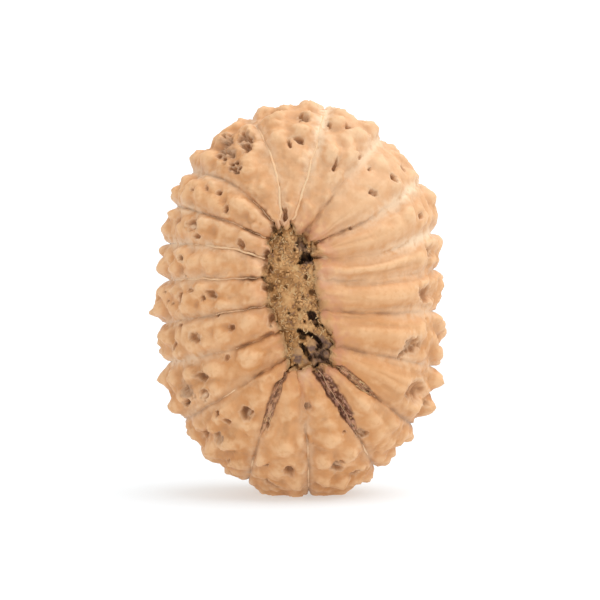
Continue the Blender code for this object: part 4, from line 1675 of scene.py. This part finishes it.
def pith_points(directions, front, shape):
    """The pith's surface, and how dark and ashy each point is."""
    spots, under = pith_spots(directions, front)
    flat, top = pith_face(spots)
    depth, dark, ash = (values * front for values in hole_marks(flat))
    ragged = spots.step + EDGE_RAGGED * grain(flat, EDGE_RAGGED_SIZE, 3, EDGE_RAGGED_OFFSET)
    low_end = smooth_rise(*LOW_END, flat[:, 2])
    ring = bell(ragged - EDGE_RING_PLACE, EDGE_RING_WIDTH)
    patches = grain(flat, EDGE_RING_PATCH_SIZE, 2, EDGE_RING_OFFSET)
    ring *= smooth_rise(*EDGE_RING_PATCHES, patches)
    dark = np.maximum(dark, EDGE_RING_SHADE * ring * (1.0 - low_end))
    top += (cork_height(flat, shape.grain_size / MILLIMETRE) - depth) * (1.0 - under)
    top -= pith_sinking(flat[:, 0], shape.pith_recess / MILLIMETRE)
    drop = EDGE_DROP - LOW_END_DROP_LESS * low_end
    top -= drop * smooth_rise(EDGE_DROP_FROM, PITH_SPREAD, ragged) * (1.0 - under)
    top -= PITH_THICKNESS * under
    flat[:, 1] = -top if front else top
    return flat, dark, ash


def grow_pith(name, front, context):
    """Make the cork of one pole."""
    shape = context.scene.seed_shape
    pith = new_sphere(name, PITH_SEGMENTS, PITH_RINGS)
    points, dark, ash = pith_points(directions_of(pith.data), front, shape)
    move_points(pith.data, stand_up(points))
    mark(pith.data, "hole", dark)
    mark(pith.data, "ash", ash)
    return pith


class SEED_OT_pith(Operator):
    """Fill the hollows at both poles with crumbly cork"""

    bl_idname = "seed.pith"
    bl_label = "Pith"

    def execute(self, context):
        material = pith_material(context.scene.seed_colours)
        finish_piece(grow_pith("front_pith", True, context), material)
        finish_piece(grow_pith("back_pith", False, context), material)
        return {"FINISHED"}


# A thread: how it starts, swells, tapers at the rim and sinks where it is faint
THREAD_POINTS = 90
THREAD_START = math.radians(2.0)
THREAD_PATCHY = 0.5
THREAD_PATCH_SIZE = 2.2
THREAD_PATCH_OFFSET = 60.0
THREAD_UNEVEN = 0.35
THREAD_WAVER = 0.06
THREAD_WAVER_SIZE = 0.8
THREAD_WAVER_OFFSET = 3.0
THREAD_TAPER = 12.0
THREAD_SINK = 0.4
FAINT_SINK = 0.25
THINNEST_THREAD = 0.02


def seam_frame(seam, turns, front):
    """Points along a seam, with the shell's normals and the ways across the seam."""
    points = cushion(spots_at(float(seam), turns, front))
    normals = outward(points)
    sideways = np.cross(np.gradient(points, axis=0), normals)
    sideways /= np.linalg.norm(sideways, axis=-1, keepdims=True)
    return points, normals, sideways


def thread_line(seam, look, front, radius):
    """Points and radii of a seam's thread, sunk where it is faint."""
    turns = np.linspace(THREAD_START, QUARTER_TURN, THREAD_POINTS)
    points, normals, sideways = seam_frame(seam, turns, front)
    reach = np.sin(turns)
    waver = grain(points, THREAD_WAVER_SIZE, 2, seam * THREAD_WAVER_OFFSET)
    patchy = THREAD_PATCHY * grain(points, THREAD_PATCH_SIZE, 2, THREAD_PATCH_OFFSET + seam)
    shown = np.clip(np.interp(reach, LOOK_REACHES, look.thread) + patchy, 0.0, 2.0)
    tapered = np.clip(THREAD_TAPER * (1.0 - reach), 0.0, 1.0)
    radii = radius * np.sqrt(shown) * (1.0 + THREAD_UNEVEN * waver) * tapered
    crease = CREASE_DEPTH * np.interp(reach, LOOK_REACHES, look.crease)
    sunk = THREAD_SINK * radii + 0.5 * crease + FAINT_SINK * np.maximum(1.0 - shown, 0.0)
    strayed = points + wander(points, reach) + sideways * (THREAD_WAVER * waver)[:, None]
    return strayed - normals * sunk[:, None], np.maximum(radii, THINNEST_THREAD)


def lay_lines(name, lines, sides):
    """Make round lines from points and radii, as one mesh."""
    curve = bpy.data.curves.new(name, "CURVE")
    curve.dimensions = "3D"
    curve.bevel_depth = 1.0
    curve.bevel_resolution = sides
    curve.use_fill_caps = True
    for points, radii in lines:
        spline = curve.splines.new("POLY")
        spline.points.add(len(points) - 1)
        for knot, point, radius in zip(spline.points, points, radii):
            knot.co = (*point, 1.0)
            knot.radius = radius
    thing = bpy.data.objects.new(name, curve)
    bpy.context.scene.collection.objects.link(thing)
    select_only([thing])
    bpy.ops.object.convert(target="MESH")
    return bpy.context.object


class SEED_OT_threads(Operator):
    """Lay the pale raised thread along each seam"""

    bl_idname = "seed.threads"
    bl_label = "Seam threads"

    def execute(self, context):
        radius = context.scene.seed_shape.thread_radius / MILLIMETRE
        lines = []
        for seam, front_look in enumerate(SEAM_LOOKS):
            for front, look in ((True, front_look), (False, BACK_LOOK)):
                if max(look.thread) > 0.0:
                    points, radii = thread_line(seam, look, front, radius)
                    lines.append((stand_up(points), radii * MILLIMETRE))
        threads = lay_lines("seam_threads", lines, 2)
        finish_piece(threads, thread_material(context.scene.seed_colours))
        return {"FINISHED"}


# Fibres in the gaps: how many, how far they run, drift and sink, and how thick they are
GAP_FIBRE_SEED = 8
FIBRES_PER_MILLIMETRE = 3
FIBRES_IN_BROWN_GAP = 0.3
FACE_LENGTH = 10.0
GAP_FIBRE_START = 0.02
GAP_FIBRE_REACHES = (0.02, 0.08)
GAP_FIBRE_OVERRUN = 1.05
GAP_FIBRE_SIDE = 0.7
GAP_FIBRE_DRIFT = 0.06
GAP_FIBRE_SINKS = (0.1, 0.6)
GAP_FIBRE_THICKNESSES = (0.6, 1.5)
GAP_FIBRE_POINTS = 5


def gap_fibre_lines(radius):
    """Fibres that run along the parted seams, strewn by a seeded draw."""
    draw = random.Random(GAP_FIBRE_SEED)
    lines = []
    for part in GAPS:
        shown = FIBRES_IN_BROWN_GAP + (1.0 - FIBRES_IN_BROWN_GAP) * part.tan
        area = part.far_end * FACE_LENGTH * part.half_width * 2.0
        for _ in range(int(FIBRES_PER_MILLIMETRE * shown * area)):
            start = draw.uniform(GAP_FIBRE_START, part.far_end)
            end = min(start + draw.uniform(*GAP_FIBRE_REACHES), part.far_end * GAP_FIBRE_OVERRUN)
            side = draw.uniform(-GAP_FIBRE_SIDE, GAP_FIBRE_SIDE) * part.half_width
            turns = np.arcsin(np.linspace(start, end, GAP_FIBRE_POINTS))
            steps = [draw.uniform(-GAP_FIBRE_DRIFT, GAP_FIBRE_DRIFT) for _ in turns]
            sunk = draw.uniform(*GAP_FIBRE_SINKS) * part.depth
            points, normals, sideways = seam_frame(part.seam, turns, True)
            strayed = points + wander(points, np.sin(turns))
            strayed += sideways * (side + np.cumsum(steps))[:, None] - normals * sunk
            size = radius * draw.uniform(*GAP_FIBRE_THICKNESSES) * MILLIMETRE
            lines.append((stand_up(strayed), [size] * len(turns)))
    return lines


# Nothing is strewn past this share of the pith, nor where it is this dark or ashy
PITH_EDGE_SHARE = 0.98
TOO_DARK = 0.25
TOO_ASHY = 0.5


def places_on_pith(count, draw):
    """Places strewn over the front pith, off its holes and ash: right, depth and up."""
    places = []
    while len(places) < count:
        place = np.array([draw.uniform(0.0, RIBS)])
        step = np.array([PITH_EDGE_SHARE * math.sqrt(draw.uniform(0.0, 1.0))])
        flat, top = pith_face(Spots(place, np.zeros(1), step, np.array([True])))
        _, dark, ash = hole_marks(flat)
        top -= pith_sinking(flat[:, 0], 0.0)
        if dark[0] < TOO_DARK and ash[0] < TOO_ASHY:
            places.append((flat[0, 0], float(top[0]), flat[0, 2]))
    return places


# Fibres on the pith: how long, how bowed, how tilted and how high they lie
PITH_FIBRE_SEED = 12
PITH_FIBRE_LENGTHS = (0.2, 0.7)
PITH_FIBRE_BOW = 0.2
PITH_FIBRE_TILT = 0.15
PITH_FIBRE_KINK = 0.03
PITH_FIBRE_LOW = 0.12
PITH_FIBRE_ARCH = 0.10
PITH_FIBRE_THICKNESSES = (0.7, 1.3)


def pith_fibre_lines(count, radius, recess):
    """Short fibres that lie about on the front pith."""
    draw = random.Random(PITH_FIBRE_SEED)
    lines = []
    for right, depth, up in places_on_pith(count, draw):
        angle = draw.uniform(0.0, FULL_TURN)
        reach = draw.uniform(*PITH_FIBRE_LENGTHS)
        bow = draw.uniform(-PITH_FIBRE_BOW, PITH_FIBRE_BOW)
        tilt = draw.uniform(-PITH_FIBRE_TILT, PITH_FIBRE_TILT)
        points = []
        for share in (0.0, 0.25, 0.5, 0.75, 1.0):
            arch = math.sin(math.pi * share)
            bend = bow * arch + draw.uniform(-PITH_FIBRE_KINK, PITH_FIBRE_KINK)
            along = reach * (share - 0.5)
            lowered = recess - depth + PITH_FIBRE_LOW - PITH_FIBRE_ARCH * arch
            points.append((right + along * math.cos(angle) - bend * math.sin(angle),
                           lowered + along * tilt,
                           up + along * math.sin(angle) + bend * math.cos(angle)))
        size = radius * draw.uniform(*PITH_FIBRE_THICKNESSES) * MILLIMETRE
        lines.append((stand_up(np.array(points)), [size] * len(points)))
    return lines


class SEED_OT_fibres(Operator):
    """Lay dry fibres in the parted seams and on the pith"""

    bl_idname = "seed.fibres"
    bl_label = "Fibres"

    def execute(self, context):
        shape = context.scene.seed_shape
        radius = shape.fibre_radius / MILLIMETRE
        recess = shape.pith_recess / MILLIMETRE
        lines = gap_fibre_lines(radius) + pith_fibre_lines(shape.pith_fibres, radius, recess)
        fibres = lay_lines("seed_fibres", lines, 0)
        finish_piece(fibres, fibre_material(context.scene.seed_colours))
        return {"FINISHED"}


CRUMB_STRETCH = (0.7, 1.3)


def scatter(name, places, sizes, draw):
    """Model one small crumb and copy it to every place."""
    bpy.ops.object.select_all(action="DESELECT")
    bpy.ops.mesh.primitive_ico_sphere_add(subdivisions=1, radius=1.0)
    first = bpy.context.object
    copies = []
    for place, size in zip(places, sizes):
        crumb = first.copy()
        crumb.data = first.data.copy()
        crumb.scale = [size * draw.uniform(*CRUMB_STRETCH) for _ in range(3)]
        crumb.rotation_euler = [draw.uniform(0.0, FULL_TURN) for _ in range(3)]
        crumb.location = place
        bpy.context.scene.collection.objects.link(crumb)
        copies.append(crumb)
    bpy.data.objects.remove(first, do_unlink=True)
    select_only(copies)
    bpy.ops.object.join()
    bpy.ops.object.transform_apply(location=True, rotation=True, scale=True)
    joined = bpy.context.object
    joined.name = name
    joined.data.name = name
    return joined


# Loose crumbs: the draw, their size by the largest and how high they lie
CRUMB_SEED = 44
CRUMB_SIZES = (0.4, 1.0)
CRUMB_HEIGHTS = (-0.05, 0.25)


def pith_crumb_places(count, recess, draw):
    """Where loose crumbs lie on the front pith."""
    places = [(right, recess - depth + draw.uniform(*CRUMB_HEIGHTS), up)
              for right, depth, up in places_on_pith(count, draw)]
    return stand_up(np.array(places))


class SEED_OT_crumbs(Operator):
    """Strew loose crumbs on the front pith"""

    bl_idname = "seed.crumbs"
    bl_label = "Crumbs"

    def execute(self, context):
        shape = context.scene.seed_shape
        draw = random.Random(CRUMB_SEED)
        places = pith_crumb_places(shape.crumb_count, shape.pith_recess / MILLIMETRE, draw)
        sizes = [shape.crumb_size * draw.uniform(*CRUMB_SIZES) for _ in places]
        crumbs = scatter("pith_crumbs", places, sizes, draw)
        for name in ("hole", "ash"):
            mark(crumbs.data, name, np.zeros(len(crumbs.data.vertices)))
        finish_piece(crumbs, pith_material(context.scene.seed_colours))
        return {"FINISHED"}


FLOOR_SIZE = 6.0
DAYLIGHT_COLOUR = (1.0, 0.99, 0.975, 1.0)
KEY_AWAY = Vector((0.44, -0.06, 0.90))


def aim(thing, target):
    """Turn a lamp or camera towards a point."""
    thing.rotation_euler = (Vector(target) - thing.location).to_track_quat("-Z", "Y").to_euler()


def soft_sun(name, place, target, strength, softness):
    """Add a wide soft sun that shines from a place towards a target."""
    bpy.ops.object.light_add(type="SUN", location=place)
    lamp = bpy.context.object
    lamp.name = name
    lamp.data.energy = strength
    lamp.data.angle = softness
    aim(lamp, target)


def white_surroundings(strength):
    """Even white light from all round."""
    world = bpy.data.worlds.new("daylight")
    world.use_nodes = True
    background = world.node_tree.nodes["Background"]
    background.inputs["Color"].default_value = DAYLIGHT_COLOUR
    background.inputs["Strength"].default_value = strength
    bpy.context.scene.world = world


class SEED_OT_stage(Operator):
    """Set the floor, the lights and the camera"""

    bl_idname = "seed.stage"
    bl_label = "Stage"

    def execute(self, context):
        settings = context.scene.seed_stage
        centre = Vector((0.0, 0.0, FOOT_BELOW_CENTRE * MILLIMETRE))
        bpy.ops.object.select_all(action="DESELECT")
        bpy.ops.mesh.primitive_plane_add(size=FLOOR_SIZE, location=(0.0, 0.0, 0.0))
        floor = context.object
        floor.name = "floor"
        material = floor_material(context.scene.seed_colours, settings.floor_glow)
        floor.data.materials.append(material)
        white_surroundings(settings.daylight)
        soft_sun("key", centre + KEY_AWAY, centre, settings.key_strength, settings.key_softness)
        bpy.ops.object.camera_add()
        camera = context.object
        away = Vector((0.0, -math.cos(settings.elevation), math.sin(settings.elevation)))
        camera.location = centre + away * settings.distance
        aim(camera, centre)
        camera.data.lens = camera.data.sensor_width * settings.distance / settings.view_width
        context.scene.camera = camera
        context.scene.view_settings.view_transform = "Standard"
        return {"FINISHED"}


class SEED_PT_panel(Panel):
    """The seed's pieces and settings in the sidebar"""

    bl_label = "Rudraksha Seed"
    bl_idname = "SEED_PT_panel"
    bl_space_type = "VIEW_3D"
    bl_region_type = "UI"
    bl_category = "Seed"

    def draw(self, context):
        for step in STEPS:
            self.layout.operator(step.bl_idname)
        for group in (context.scene.seed_shape, context.scene.seed_colours,
                      context.scene.seed_stage):
            box = self.layout.box()
            for name in group.bl_rna.properties.keys():
                if name not in ("rna_type", "name"):
                    box.prop(group, name)


STEPS = (SEED_OT_shell, SEED_OT_pith, SEED_OT_threads, SEED_OT_fibres, SEED_OT_crumbs,
         SEED_OT_stage)
CLASSES = (SeedShape, SeedColours, StageSettings, *STEPS, SEED_PT_panel)


def register():
    """Make the operators, the panel and the settings known."""
    for made in CLASSES:
        bpy.utils.register_class(made)
    bpy.types.Scene.seed_shape = PointerProperty(type=SeedShape)
    bpy.types.Scene.seed_colours = PointerProperty(type=SeedColours)
    bpy.types.Scene.seed_stage = PointerProperty(type=StageSettings)


def unregister():
    """Take them away again."""
    del bpy.types.Scene.seed_stage
    del bpy.types.Scene.seed_colours
    del bpy.types.Scene.seed_shape
    for made in reversed(CLASSES):
        bpy.utils.unregister_class(made)


def main():
    """Make every piece in order."""
    register()
    bpy.ops.seed.shell()
    bpy.ops.seed.pith()
    bpy.ops.seed.threads()
    bpy.ops.seed.fibres()
    bpy.ops.seed.crumbs()
    bpy.ops.seed.stage()


if __name__ == "__main__":
    main()
